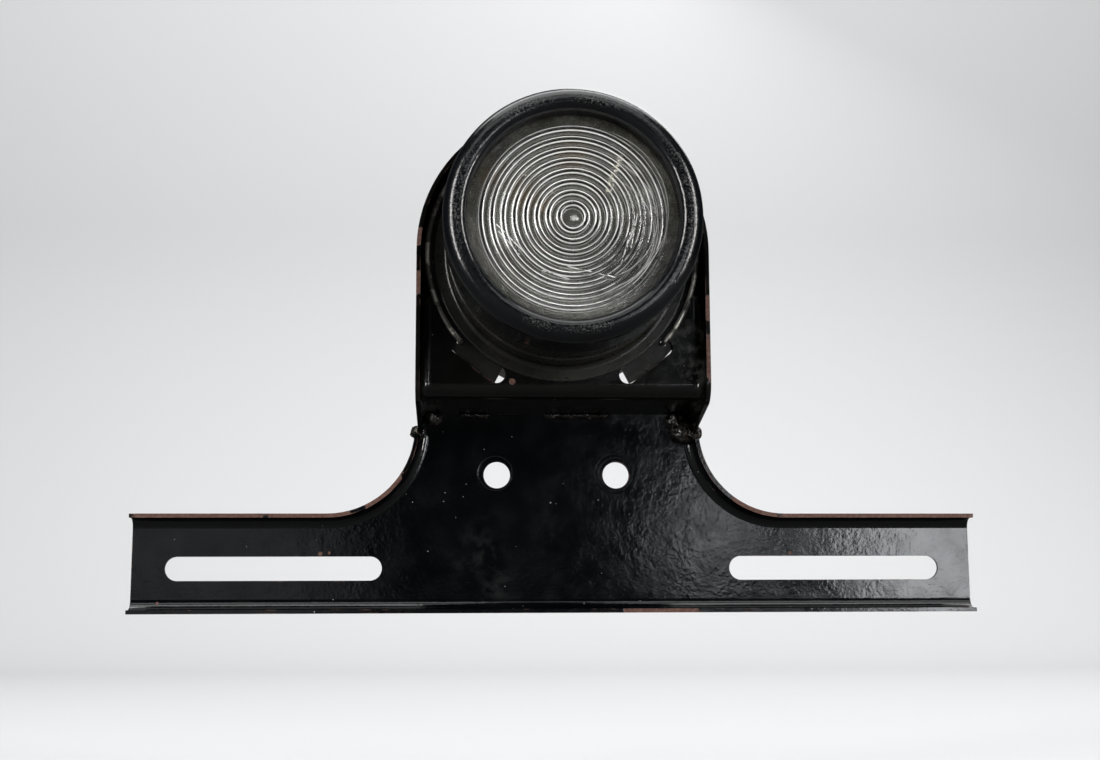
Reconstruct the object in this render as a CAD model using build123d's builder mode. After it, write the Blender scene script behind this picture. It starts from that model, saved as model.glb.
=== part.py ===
"""Motorcycle tail lamp on a pressed-steel carrier with a licence-plate bracket.

Millimetres. +X is to the right seen from behind the vehicle, +Z is up and -Y points out of the
lamp. The origin is midway between the two fender bolt holes, on the bracket's back face.
"Depth" means the distance in front of that back face, so a depth d lies at Y = -d.
"""
import math
import os

from build123d import *

# ---- driving dimensions -------------------------------------------------------------------
SHEET = 1.2                 # bracket and carrier sheet steel
BEND = 3.0                  # inside radius of the pressed bends

PLATE_HALF_WIDTH = 127.0    # 10 in overall
PLATE_BOTTOM = -41.5
ARM_TOP = -12.0
NECK_HALF_WIDTH = 43.0
NECK_TOP = 24.0
ARM_CORNER = 26.0           # radius between arm and neck
PLATE_FLANGE = 7.0          # how far the turned edge reaches forward
NECK_FLANGE_TOP = 12.0
HOLE_HALF_SPACING = 18.2
HOLE_RADIUS = 4.05
SLOT_CENTRE_X = 85.0
SLOT_CENTRE_Z = -28.2
SLOT_LENGTH = 64.6
SLOT_WIDTH = 7.2

LAMP_Z = 61.8               # height of the lamp's axis
CARRIER_HALF_WIDTH = 42.0
CARRIER_BACK = 30.0         # depth of the carrier face's back surface
CARRIER_FRONT = CARRIER_BACK + SHEET
CARRIER_FLANGE = 38.2       # depth of the carrier's turned front edge
LEDGE_FRONT_Z = 20.0        # underside of the ledge where it meets the face
LEDGE_REAR_Z = 18.6         # underside of the ledge at the bracket
CARRIER_OPENING = 20.0
CLIP_SLOT_RADIUS = 39.4
CLIP_SLOT_ANGLE = 52.0      # below the horizontal, each side
CLIP_SLOT_LENGTH = 18.4
CLIP_SLOT_WIDTH = 5.1

DRUM_RADIUS = 33.0
DRUM_WALL = 1.0
DRUM_FRONT = 70.0
DRUM_FLANGE_RADIUS = 37.3
DRUM_FLOOR = CARRIER_FRONT + DRUM_WALL
DRUM_BEAD_DEPTH = 46.0
SOCKET_OPENING = 9.0

BEZEL_INSIDE = 33.3
BEZEL_SHEET = 0.8
BEZEL_APERTURE = 27.8
BEZEL_REAR = 64.4
BEZEL_CREST = 81.2          # depth of the bezel's foremost ring
LENS_SEAT_DEPTH = 75.2
LUG_DEPTH = 67.3
LUG_RADIUS = 1.3
LUG_ANGLES = (30, 150, 270)
BEZEL_TWIST = 20.0

LENS_RADIUS = 32.2
LENS_REAR = 72.0
LENS_CROWN = 1.3
LENS_RINGS = 8
LENS_FIRST_RING = 3.7
LENS_RING_PITCH = 2.93
LENS_RING_RADIUS = 0.75

SCREW_CIRCLE = 27.5
SCREW_ANGLES = (90, 210, 330)
SCREW_RADIUS = 1.95

RIVET_CIRCLE = 12.0
RIVET_RADIUS = 1.2
RIVET_ANGLES = (90, 270)

CUP_RADIUS = 36.8
CUP_WALL = 0.8
CUP_REAR = 3.0
CUP_CORNER = 6.0
EAR_WIDTH = 11.0
EAR_THICKNESS = 1.2
TONGUE_START = 37.0         # the tongues lie behind the carrier's slots, angles below the horizontal
TONGUE_END = 62.5
TONGUE_REACH = 42.2
GROMMET_DROP = 21.0         # grommet's distance below the lamp's axis
GROMMET_HOLE = 4.6

SHELL_INSIDE = 7.65
SHELL_WALL = 0.5
SHELL_REAR = 22.0
SHELL_FRONT = 44.0
PIN_DEPTH = 38.6
PIN_RADIUS = 1.0
BULB_TRAVEL = 2.0

BULB_BASE_RADIUS = 7.5
BULB_BASE_REAR = 32.6
BULB_BASE_FRONT = 46.5
BULB_CENTRE = 56.4
BULB_BALL = 9.2
BULB_NECK = 6.3
BULB_GLASS = 0.6

CONTACT_FACE = 30.8         # depth at which the plunger meets the bulb's contact
DISC_REAR = 28.0
INSULATOR_FRONT = SHELL_REAR + 1.6
WIRE_RING_RADIUS = 39.1
WIRE_RADIUS = 0.75
WIRE_END_ANGLE = 41.0       # below the horizontal, where the wire turns into its slot

MARGIN = 2.0                # how far a cutter runs past what it cuts
PLAY = 0.1                  # between a shaft and its hole

LAMP_AXIS = Axis((0, 0, LAMP_Z), (0, -1, 0))
# Sections through the lamp: local x is the radius, local y is the depth.
LAMP_SECTION = Plane(origin=(0, 0, LAMP_Z), x_dir=(0, 0, 1), z_dir=(1, 0, 0))
# Side views: local x is the depth, local y is the height.
SIDE = Plane(origin=(0, 0, 0), x_dir=(0, -1, 0), z_dir=(-1, 0, 0))

os.makedirs("parts", exist_ok=True)


def facing(depth, height=0.0):
    """Plane parallel to the bracket at a depth: local x is +X and local y is +Z."""
    return Plane(origin=(0, -depth, height), x_dir=(1, 0, 0), z_dir=(0, -1, 0))


def around(angle, radius):
    """Point on a circle, counter-clockwise from +X as seen from the front."""
    return (radius * math.cos(math.radians(angle)), radius * math.sin(math.radians(angle)))


def radial(angle, depth, radius):
    """Plane beside the lamp whose normal points away from the lamp's axis."""
    x, z = around(angle, 1.0)
    return Plane(origin=(radius * x, -depth, LAMP_Z + radius * z), x_dir=(0, -1, 0), z_dir=(x, 0, z))


def wedge(start, end, reach):
    """Three corners of a wedge between two angles, from the lamp's axis outwards."""
    return [(0, 0), around(start, reach), around(end, reach)]


# ---- licence-plate bracket ----------------------------------------------------------------
def bracket_outline(inset, past_ends):
    """T-shaped outline drawn in from its turned edges and run past its plain-cut ends."""
    end = PLATE_HALF_WIDTH + past_ends
    bottom = PLATE_BOTTOM + inset
    top = ARM_TOP - inset
    neck = NECK_HALF_WIDTH - inset
    bend_x = NECK_HALF_WIDTH + ARM_CORNER
    bend_z = ARM_TOP + ARM_CORNER
    radius = ARM_CORNER + inset
    neck_top = NECK_TOP + past_ends
    arc_middle = radius * math.sqrt(0.5)
    with BuildLine() as outline:
        Line((0, bottom), (end, bottom))
        Line((end, bottom), (end, top))
        Line((end, top), (bend_x, top))
        ThreePointArc((bend_x, top), (bend_x - arc_middle, bend_z - arc_middle), (neck, bend_z))
        Line((neck, bend_z), (neck, neck_top))
        Line((neck, neck_top), (0, neck_top))
        mirror(about=Plane.YZ)
    return outline.line


with BuildPart() as turned_edge_space:
    with BuildSketch(facing(SHEET)):
        with BuildLine():
            add(bracket_outline(SHEET, 20.0))
        make_face()
    extrude(amount=PLATE_FLANGE)
    fillet(
        turned_edge_space.faces().sort_by(Axis.Y)[-1].edges().filter_by(
            lambda edge: edge.center().Z < NECK_TOP and abs(edge.center().X) < PLATE_HALF_WIDTH
        ),
        BEND,
    )

with BuildPart() as plate_bracket:
    with BuildSketch(facing(0)):
        with BuildLine():
            add(bracket_outline(0.0, 0.0))
        make_face()
    extrude(amount=PLATE_FLANGE)
    fillet(
        plate_bracket.faces().sort_by(Axis.Y)[-1].edges().filter_by(
            lambda edge: edge.center().Z < NECK_TOP - 1 and abs(edge.center().X) < PLATE_HALF_WIDTH - 1
        ),
        BEND + SHEET,
    )
    add(turned_edge_space.part, mode=Mode.SUBTRACT)
    # the turned edge stops where the carrier's own turned edge takes over
    with BuildSketch(facing(SHEET, NECK_FLANGE_TOP + NECK_HALF_WIDTH)):
        Rectangle(4 * NECK_HALF_WIDTH, 2 * NECK_HALF_WIDTH)
    extrude(amount=PLATE_FLANGE, mode=Mode.SUBTRACT)
    # above it the neck is cut narrower, to lie inside the carrier's sides
    with BuildSketch(facing(0, NECK_FLANGE_TOP)):
        for side in (-1, 1):
            with Locations((side * (CARRIER_HALF_WIDTH + NECK_HALF_WIDTH), NECK_HALF_WIDTH)):
                Rectangle(2 * NECK_HALF_WIDTH, 2 * NECK_HALF_WIDTH)
    extrude(amount=SHEET, mode=Mode.SUBTRACT)
    with BuildSketch(facing(0)):
        with Locations((-HOLE_HALF_SPACING, 0), (HOLE_HALF_SPACING, 0)):
            Circle(HOLE_RADIUS)
        with Locations((-SLOT_CENTRE_X, SLOT_CENTRE_Z), (SLOT_CENTRE_X, SLOT_CENTRE_Z)):
            SlotOverall(SLOT_LENGTH, SLOT_WIDTH)
    extrude(amount=SHEET, mode=Mode.SUBTRACT)
plate_bracket.part.label = "plate_bracket"
export_step(plate_bracket.part, "parts/plate_bracket.step")


# ---- lamp carrier: arched face, ledge and turned edge ---------------------------------------
def arch(inset):
    """Arched outline of the carrier seen from the front, drawn in by inset."""
    half = CARRIER_HALF_WIDTH - inset
    with BuildLine() as outline:
        Line((-half, 0), (half, 0))
        Line((half, 0), (half, LAMP_Z))
        ThreePointArc((half, LAMP_Z), (0, LAMP_Z + half), (-half, LAMP_Z))
        Line((-half, LAMP_Z), (-half, 0))
    return outline.line


ABOVE = LAMP_Z + CARRIER_HALF_WIDTH + MARGIN

# everything in front of the face and below the ledge, between the turned edges
with BuildPart() as carrier_hollow:
    with BuildSketch(SIDE):
        with BuildLine():
            Polyline(
                (CARRIER_FRONT, ABOVE),
                (CARRIER_FRONT, LEDGE_FRONT_Z),
                (SHEET - MARGIN, LEDGE_REAR_Z),
                (SHEET - MARGIN, -MARGIN),
                (CARRIER_FLANGE + MARGIN, -MARGIN),
                (CARRIER_FLANGE + MARGIN, ABOVE),
                close=True,
            )
        make_face()
    extrude(amount=ABOVE, both=True)
    with BuildSketch(facing(0)):
        with BuildLine():
            add(arch(SHEET))
        make_face()
        with Locations((0, -CARRIER_HALF_WIDTH)):
            Rectangle(2 * (CARRIER_HALF_WIDTH - SHEET), 2 * CARRIER_HALF_WIDTH)
    extrude(amount=ABOVE, mode=Mode.INTERSECT)
    fold = carrier_hollow.edges().filter_by(Axis.X).sort_by_distance((0, -CARRIER_FRONT, LEDGE_FRONT_Z))
    fillet(fold[0], BEND + SHEET)
    face_edges = carrier_hollow.edges().filter_by(
        lambda edge: abs(edge.center().Y + CARRIER_FRONT) < 0.01 and edge.center().Z > LEDGE_FRONT_Z + BEND
    )
    fillet(face_edges.filter_by(lambda edge: abs(edge.center().X) > BEND or edge.center().Z > LAMP_Z), BEND)

with BuildPart() as lamp_carrier:
    with BuildSketch(SIDE):
        with BuildLine():
            Polyline(
                (CARRIER_BACK, ABOVE),
                (CARRIER_BACK, LEDGE_FRONT_Z + SHEET),
                (SHEET, LEDGE_REAR_Z + SHEET),
                (SHEET, NECK_FLANGE_TOP),
                (PLATE_FLANGE - SHEET, NECK_FLANGE_TOP),
                (CARRIER_FLANGE, LEDGE_FRONT_Z - SHEET),
                (CARRIER_FLANGE, ABOVE),
                close=True,
            )
        make_face()
    extrude(amount=ABOVE, both=True)
    with BuildSketch(facing(0)):
        with BuildLine():
            add(arch(0))
        make_face()
    extrude(amount=ABOVE, mode=Mode.INTERSECT)
    fold = lamp_carrier.edges().filter_by(Axis.X).sort_by_distance((0, -CARRIER_BACK, LEDGE_FRONT_Z))
    fillet(fold[0], BEND)
    corner = lamp_carrier.edges().filter_by(Axis.X).sort_by_distance((0, -CARRIER_FLANGE, LEDGE_FRONT_Z))
    fillet(corner[0], 2 * BEND)
    face_edges = lamp_carrier.edges().filter_by(
        lambda edge: abs(edge.center().Y + CARRIER_BACK) < 0.01 and edge.center().Z > LEDGE_FRONT_Z + BEND
    )
    fillet(face_edges.filter_by(lambda edge: abs(edge.center().X) > BEND or edge.center().Z > LAMP_Z),
           BEND + SHEET)
    add(carrier_hollow.part, mode=Mode.SUBTRACT)
    with BuildSketch(facing(CARRIER_BACK - MARGIN, LAMP_Z)):
        Circle(CARRIER_OPENING)
        for angle in SCREW_ANGLES:
            with Locations(around(angle, SCREW_CIRCLE)):
                Circle(SCREW_RADIUS + 0.2)
        for angle in (-CLIP_SLOT_ANGLE, CLIP_SLOT_ANGLE - 180):
            with Locations(Location(around(angle, CLIP_SLOT_RADIUS), angle + 90)):
                SlotOverall(CLIP_SLOT_LENGTH, CLIP_SLOT_WIDTH)
    extrude(amount=SHEET + 2 * MARGIN, mode=Mode.SUBTRACT)
lamp_carrier.part.label = "lamp_carrier"
export_step(lamp_carrier.part, "parts/lamp_carrier.step")

# ---- weld beads that join the carrier to the bracket ------------------------------------------
WELD_RADIUS = 1.6
WELD_STITCHES = ((-25.0, 3.2), (2.0, 4.5), (12.0, 3.0))    # middle and half length
WELD_LUMPS = (                                              # x, depth, height, radius
    (-38.0, 2.2, 17.4, 3.0),
    (-42.2, 4.4, 12.6, 2.4),
    (37.0, 1.8, 17.0, 3.4),
    (39.0, 2.6, 13.2, 4.0),
    (41.8, 5.2, 12.6, 2.8),
)

with BuildPart() as weld_beads:
    for across, half_length in WELD_STITCHES:
        with Locations(Location((across, -SHEET, LEDGE_REAR_Z), (0, 90, 0))):
            Cylinder(WELD_RADIUS, 2 * half_length)
        for end in (across - half_length, across + half_length):
            with Locations((end, -SHEET, LEDGE_REAR_Z)):
                Sphere(WELD_RADIUS)
    for across, depth, height, radius in WELD_LUMPS:
        with Locations((across, -depth, height)):
            Sphere(radius)
    # weld metal fills the corner in front of the bracket and under the ledge
    with Locations((0, -SHEET - 10, LEDGE_REAR_Z - 10)):
        Box(4 * CARRIER_HALF_WIDTH, 20, 20, mode=Mode.INTERSECT)
    add(lamp_carrier.part, mode=Mode.SUBTRACT)
    add(plate_bracket.part, mode=Mode.SUBTRACT)
weld_beads.part.label = "weld_beads"
export_step(weld_beads.part, "parts/weld_beads.step")


# ---- lamp drum: pressed cup with a base flange and bayonet slots ------------------------------
FLOOR_CORNER = 1.5
LUG_GAP = 0.25
REACH = 2 * DRUM_RADIUS     # how far a wedge-shaped cutter reaches

with BuildPart() as lamp_drum:
    with BuildSketch(LAMP_SECTION):
        with BuildLine():
            Polyline(
                (SOCKET_OPENING, CARRIER_FRONT),
                (DRUM_FLANGE_RADIUS, CARRIER_FRONT),
                (DRUM_FLANGE_RADIUS, DRUM_FLOOR),
                (DRUM_RADIUS, DRUM_FLOOR),
                (DRUM_RADIUS, DRUM_FRONT),
                (DRUM_RADIUS - DRUM_WALL, DRUM_FRONT),
                (DRUM_RADIUS - DRUM_WALL, DRUM_FLOOR),
                (SOCKET_OPENING, DRUM_FLOOR),
                close=True,
            )
        make_face()
        with Locations((DRUM_RADIUS - 0.1, DRUM_BEAD_DEPTH)):
            Circle(DRUM_WALL * 0.7)
    revolve(axis=LAMP_AXIS)
    corner = lamp_drum.edges().filter_by(GeomType.CIRCLE).filter_by(
        lambda edge: abs(edge.center().Y + DRUM_FLOOR) < 0.01 and abs(edge.radius - DRUM_RADIUS) < 0.01
    )
    fillet(corner, FLOOR_CORNER)
    rim = lamp_drum.edges().filter_by(GeomType.CIRCLE).filter_by(
        lambda edge: abs(edge.center().Y + DRUM_FLOOR) < 0.01 and edge.radius > DRUM_RADIUS + FLOOR_CORNER + 1
    )
    fillet(rim, DRUM_WALL / 2)
    with BuildSketch(facing(CARRIER_FRONT, LAMP_Z)):
        for angle in SCREW_ANGLES:
            with Locations(around(angle, SCREW_CIRCLE)):
                Circle(SCREW_RADIUS + PLAY)
        for angle in RIVET_ANGLES:
            with Locations(around(angle, RIVET_CIRCLE)):
                Circle(RIVET_RADIUS)
    extrude(amount=DRUM_WALL, mode=Mode.SUBTRACT)
    # each bayonet slot runs round the wall from its closed end to a way out at the drum's mouth
    half_lug = math.degrees((LUG_RADIUS + LUG_GAP) / DRUM_RADIUS)
    with BuildSketch(facing(LUG_DEPTH - LUG_RADIUS - LUG_GAP, LAMP_Z)):
        for angle in LUG_ANGLES:
            with BuildLine():
                Polyline(*wedge(angle - half_lug, angle + BEZEL_TWIST + half_lug, REACH), close=True)
            make_face()
    extrude(amount=2 * (LUG_RADIUS + LUG_GAP), mode=Mode.SUBTRACT)
    with BuildSketch(facing(LUG_DEPTH, LAMP_Z)):
        for angle in LUG_ANGLES:
            way_out = angle + BEZEL_TWIST
            with BuildLine():
                Polyline(*wedge(way_out - half_lug, way_out + half_lug, REACH), close=True)
            make_face()
    extrude(amount=DRUM_FRONT - LUG_DEPTH + MARGIN, mode=Mode.SUBTRACT)
lamp_drum.part.label = "lamp_drum"
export_step(lamp_drum.part, "parts/lamp_drum.step")


# ---- wire spring round the drum's flange, its ends hooked behind the rear cup's tongues ---------
WIRE_LIFT = 0.6             # the wire rides up on the carrier's bend
WIRE_DEPTH = CARRIER_FRONT + WIRE_RADIUS + WIRE_LIFT
WIRE_ELBOW = WIRE_RADIUS + 0.03
WIRE_HOOK_DEPTH = CARRIER_BACK - EAR_THICKNESS - WIRE_ELBOW - 0.02
WIRE_HOOK_SWEEP = 14.0      # degrees of arc behind the cup's tongues

with BuildPart() as retaining_wire:
    ring_start = radial(-WIRE_END_ANGLE, WIRE_DEPTH, WIRE_RING_RADIUS)
    with BuildSketch(Plane(origin=ring_start.origin, x_dir=(0, -1, 0), z_dir=ring_start.y_dir)):
        Circle(WIRE_RADIUS)
    revolve(axis=LAMP_AXIS, revolution_arc=180 + 2 * WIRE_END_ANGLE)
    for angle, hook_start in (
        (-WIRE_END_ANGLE, -WIRE_END_ANGLE - WIRE_HOOK_SWEEP),
        (WIRE_END_ANGLE - 180, WIRE_END_ANGLE - 180),
    ):
        x, z = around(angle, WIRE_RING_RADIUS)
        with Locations((x, -WIRE_DEPTH, LAMP_Z + z), (x, -WIRE_HOOK_DEPTH, LAMP_Z + z)):
            Sphere(WIRE_ELBOW)
        with Locations(Location((x, -(WIRE_DEPTH + WIRE_HOOK_DEPTH) / 2, LAMP_Z + z), (90, 0, 0))):
            Cylinder(WIRE_RADIUS, WIRE_DEPTH - WIRE_HOOK_DEPTH)
        hook = radial(hook_start, WIRE_HOOK_DEPTH, WIRE_RING_RADIUS)
        with BuildSketch(Plane(origin=hook.origin, x_dir=(0, -1, 0), z_dir=hook.y_dir)):
            Circle(WIRE_RADIUS)
        revolve(axis=LAMP_AXIS, revolution_arc=WIRE_HOOK_SWEEP)
retaining_wire.part.label = "retaining_wire"
export_step(retaining_wire.part, "parts/retaining_wire.step")


# ---- rear cup that covers the terminals ----------------------------------------------------------
CUP_BEND = CUP_RADIUS - CUP_CORNER    # where the cup's end starts to turn into its wall
CUP_BEND_DEPTH = CUP_REAR + CUP_CORNER


def cup_corner(radius):
    """Middle point of a quarter circle in the cup's corner."""
    return (CUP_BEND + radius * math.sqrt(0.5), CUP_BEND_DEPTH - radius * math.sqrt(0.5))


with BuildPart() as rear_cup:
    with BuildSketch(LAMP_SECTION):
        with BuildLine():
            Line((0, CUP_REAR), (CUP_BEND, CUP_REAR))
            ThreePointArc((CUP_BEND, CUP_REAR), cup_corner(CUP_CORNER), (CUP_RADIUS, CUP_BEND_DEPTH))
            Polyline(
                (CUP_RADIUS, CUP_BEND_DEPTH),
                (CUP_RADIUS, CARRIER_BACK),
                (CUP_RADIUS - CUP_WALL, CARRIER_BACK),
                (CUP_RADIUS - CUP_WALL, CUP_BEND_DEPTH),
            )
            ThreePointArc(
                (CUP_RADIUS - CUP_WALL, CUP_BEND_DEPTH),
                cup_corner(CUP_CORNER - CUP_WALL),
                (CUP_BEND, CUP_REAR + CUP_WALL),
            )
            Polyline((CUP_BEND, CUP_REAR + CUP_WALL), (0, CUP_REAR + CUP_WALL), (0, CUP_REAR))
        make_face()
    revolve(axis=LAMP_AXIS)
    for angle in SCREW_ANGLES:
        with BuildSketch(facing(CARRIER_BACK - EAR_THICKNESS, LAMP_Z)):
            with Locations(Location(around(angle, (SCREW_CIRCLE + CUP_RADIUS - CUP_WALL) / 2), angle)):
                Rectangle(CUP_RADIUS - CUP_WALL - SCREW_CIRCLE + 0.2, EAR_WIDTH)
            with Locations(around(angle, SCREW_CIRCLE)):
                Circle(EAR_WIDTH / 2)
        extrude(amount=EAR_THICKNESS)
    with BuildSketch(facing(CARRIER_BACK - EAR_THICKNESS, LAMP_Z)):
        for angle in SCREW_ANGLES:
            with Locations(around(angle, SCREW_CIRCLE)):
                Circle(SCREW_RADIUS + PLAY)
    extrude(amount=EAR_THICKNESS, mode=Mode.SUBTRACT)
    # a tongue behind each slot, pierced for the wire that hooks on to it
    for start in (-TONGUE_END, TONGUE_START - 180):
        with BuildSketch(facing(CARRIER_BACK - EAR_THICKNESS, LAMP_Z)):
            with BuildLine():
                Polyline(*wedge(start, start + TONGUE_END - TONGUE_START, REACH), close=True)
            make_face()
            Circle(TONGUE_REACH, mode=Mode.INTERSECT)
            Circle(CUP_RADIUS - CUP_WALL, mode=Mode.SUBTRACT)
        extrude(amount=EAR_THICKNESS)
    with BuildSketch(facing(CARRIER_BACK - EAR_THICKNESS, LAMP_Z)):
        for angle in (-WIRE_END_ANGLE, WIRE_END_ANGLE - 180):
            with Locations(around(angle, WIRE_RING_RADIUS)):
                Circle(WIRE_ELBOW + PLAY)
    extrude(amount=EAR_THICKNESS, mode=Mode.SUBTRACT)
    with BuildSketch(facing(CUP_REAR, LAMP_Z - GROMMET_DROP)):
        Circle(GROMMET_HOLE)
    extrude(amount=CUP_WALL, mode=Mode.SUBTRACT)
rear_cup.part.label = "rear_cup"
export_step(rear_cup.part, "parts/rear_cup.step")

GROMMET_AXIS = Axis((0, 0, LAMP_Z - GROMMET_DROP), (0, -1, 0))
GROMMET_SECTION = Plane(origin=(0, 0, LAMP_Z - GROMMET_DROP), x_dir=(0, 0, 1), z_dir=(1, 0, 0))
GROMMET_LIP = 1.3
GROMMET_BORE = GROMMET_HOLE - 1.8
GROMMET_OUTSIDE = GROMMET_HOLE + 1.6

with BuildPart() as lead_grommet:
    with BuildSketch(GROMMET_SECTION):
        with BuildLine():
            Polyline(
                (GROMMET_BORE, CUP_REAR - GROMMET_LIP),
                (GROMMET_OUTSIDE, CUP_REAR - GROMMET_LIP),
                (GROMMET_OUTSIDE, CUP_REAR),
                (GROMMET_HOLE, CUP_REAR),
                (GROMMET_HOLE, CUP_REAR + CUP_WALL),
                (GROMMET_OUTSIDE, CUP_REAR + CUP_WALL),
                (GROMMET_OUTSIDE, CUP_REAR + CUP_WALL + GROMMET_LIP),
                (GROMMET_BORE, CUP_REAR + CUP_WALL + GROMMET_LIP),
                close=True,
            )
        make_face()
    revolve(axis=GROMMET_AXIS)
lead_grommet.part.label = "lead_grommet"
export_step(lead_grommet.part, "parts/lead_grommet.step")


# ---- three screws, lock washers and captive nuts through drum, carrier and cup -------------------
WASHER_THICKNESS = 0.8
WASHER_OUTSIDE = 3.3
WASHER_SPLIT = 0.5
WASHER_MIDDLE = (SCREW_RADIUS + WASHER_OUTSIDE) / 2
HEAD_HEIGHT = 2.2
HEAD_RADIUS = 3.5
NUT_HEIGHT = 2.8
NUT_ACROSS_FLATS = 6.8
THREAD_END = 1.2            # how far a screw shows past its nut
DRIVER_SLOT = 0.9
DRIVER_SLOT_ANGLE = 25
SCREW_HEAD_DEPTH = DRUM_FLOOR + WASHER_THICKNESS
SCREW_TIP_DEPTH = CARRIER_BACK - EAR_THICKNESS - NUT_HEIGHT - THREAD_END
NUT_FRONT = CARRIER_BACK - EAR_THICKNESS

with BuildPart() as drum_screws:
    with BuildSketch(facing(SCREW_TIP_DEPTH, LAMP_Z)):
        for angle in SCREW_ANGLES:
            with Locations(around(angle, SCREW_CIRCLE)):
                Circle(SCREW_RADIUS)
    extrude(amount=SCREW_HEAD_DEPTH - SCREW_TIP_DEPTH)
    with BuildSketch(facing(SCREW_HEAD_DEPTH, LAMP_Z)):
        for angle in SCREW_ANGLES:
            with Locations(around(angle, SCREW_CIRCLE)):
                Circle(HEAD_RADIUS)
    extrude(amount=HEAD_HEIGHT)
    crowns = drum_screws.edges().filter_by(GeomType.CIRCLE).group_by(Axis.Y)[0]
    fillet(crowns, HEAD_HEIGHT * 0.6)
    with BuildSketch(facing(SCREW_HEAD_DEPTH + HEAD_HEIGHT / 2, LAMP_Z)):
        for angle in SCREW_ANGLES:
            with Locations(Location(around(angle, SCREW_CIRCLE), angle + DRIVER_SLOT_ANGLE)):
                Rectangle(2 * HEAD_RADIUS + 1, DRIVER_SLOT)
    extrude(amount=HEAD_HEIGHT, mode=Mode.SUBTRACT)
drum_screws.part.label = "drum_screws"
export_step(drum_screws.part, "parts/drum_screws.step")

with BuildPart() as lock_washers:
    with BuildSketch(facing(DRUM_FLOOR, LAMP_Z)):
        for angle in SCREW_ANGLES:
            with Locations(around(angle, SCREW_CIRCLE)):
                Circle(WASHER_OUTSIDE)
                Circle(SCREW_RADIUS + PLAY, mode=Mode.SUBTRACT)
            # the split of the spring washer
            with Locations(Location(around(angle, SCREW_CIRCLE + WASHER_MIDDLE), angle)):
                Rectangle(WASHER_OUTSIDE - SCREW_RADIUS + 1, WASHER_SPLIT, mode=Mode.SUBTRACT)
    extrude(amount=WASHER_THICKNESS)
lock_washers.part.label = "lock_washers"
export_step(lock_washers.part, "parts/lock_washers.step")

with BuildPart() as captive_nuts:
    with BuildSketch(facing(NUT_FRONT - NUT_HEIGHT, LAMP_Z)):
        for angle in SCREW_ANGLES:
            with Locations(around(angle, SCREW_CIRCLE)):
                RegularPolygon(NUT_ACROSS_FLATS / 2, 6, major_radius=False)
                Circle(SCREW_RADIUS, mode=Mode.SUBTRACT)
    extrude(amount=NUT_HEIGHT)
captive_nuts.part.label = "captive_nuts"
export_step(captive_nuts.part, "parts/captive_nuts.step")


# ---- reflector: a parabolic bowl whose rim lies on the drum's mouth ------------------------------
FOCAL_LENGTH = 10.0
BOWL_NECK = 10.0
BOWL_MOUTH = 31.0
BOWL_SHEET = 0.5
BOWL_RIM = 32.8
BOWL_VERTEX = 69.2 - BOWL_MOUTH ** 2 / (4 * FOCAL_LENGTH)


def bowl_depth(radius):
    """Depth of the parabola at a radius from the lamp's axis."""
    return BOWL_VERTEX + radius ** 2 / (4 * FOCAL_LENGTH)


BOWL_TANGENT = ((BOWL_NECK + BOWL_MOUTH) / 2, BOWL_VERTEX + BOWL_NECK * BOWL_MOUTH / (4 * FOCAL_LENGTH))

with BuildPart() as reflector:
    with BuildSketch(LAMP_SECTION):
        with BuildLine():
            neck = (BOWL_NECK, bowl_depth(BOWL_NECK))
            mouth = (BOWL_MOUTH, bowl_depth(BOWL_MOUTH))
            Bezier(neck, BOWL_TANGENT, mouth)
            Polyline(
                mouth,
                (BOWL_MOUTH, DRUM_FRONT + BOWL_SHEET),
                (BOWL_RIM, DRUM_FRONT + BOWL_SHEET),
                (BOWL_RIM, DRUM_FRONT),
                (BOWL_MOUTH + BOWL_SHEET, DRUM_FRONT),
                (BOWL_MOUTH + BOWL_SHEET, mouth[1] - BOWL_SHEET),
            )
            Bezier(
                (BOWL_MOUTH + BOWL_SHEET, mouth[1] - BOWL_SHEET),
                (BOWL_TANGENT[0] + BOWL_SHEET, BOWL_TANGENT[1] - BOWL_SHEET),
                (BOWL_NECK + BOWL_SHEET, neck[1] - BOWL_SHEET),
            )
            Line((BOWL_NECK + BOWL_SHEET, neck[1] - BOWL_SHEET), neck)
        make_face()
    revolve(axis=LAMP_AXIS)
    # notches in the rim let the bezel's lugs into the bayonet slots
    with BuildSketch(facing(DRUM_FRONT - MARGIN, LAMP_Z)):
        for angle in LUG_ANGLES:
            with Locations(Location(around(angle + BEZEL_TWIST, DRUM_RADIUS), angle + BEZEL_TWIST)):
                Rectangle(2 * (DRUM_RADIUS - BOWL_MOUTH - BOWL_SHEET), 2 * LUG_RADIUS + 1)
    extrude(amount=BOWL_SHEET + 2 * MARGIN, mode=Mode.SUBTRACT)
reflector.part.label = "reflector"
export_step(reflector.part, "parts/reflector.step")


# ---- bulb socket: brass shell with bayonet slots, its flange and rivets ---------------------------
SHELL_OUTSIDE = SHELL_INSIDE + SHELL_WALL
SOCKET_FLANGE_RADIUS = 15.0
SOCKET_FLANGE_SHEET = 0.9
RIVET_HEAD = 2.2
RIVET_HEAD_HEIGHT = 1.0
SHELL_LIP = 1.2             # how far the shell's rear end is rolled in
PIN_SLOT_HALF = PIN_RADIUS + 0.2
PIN_SLOT_TURN = 32.0

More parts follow.
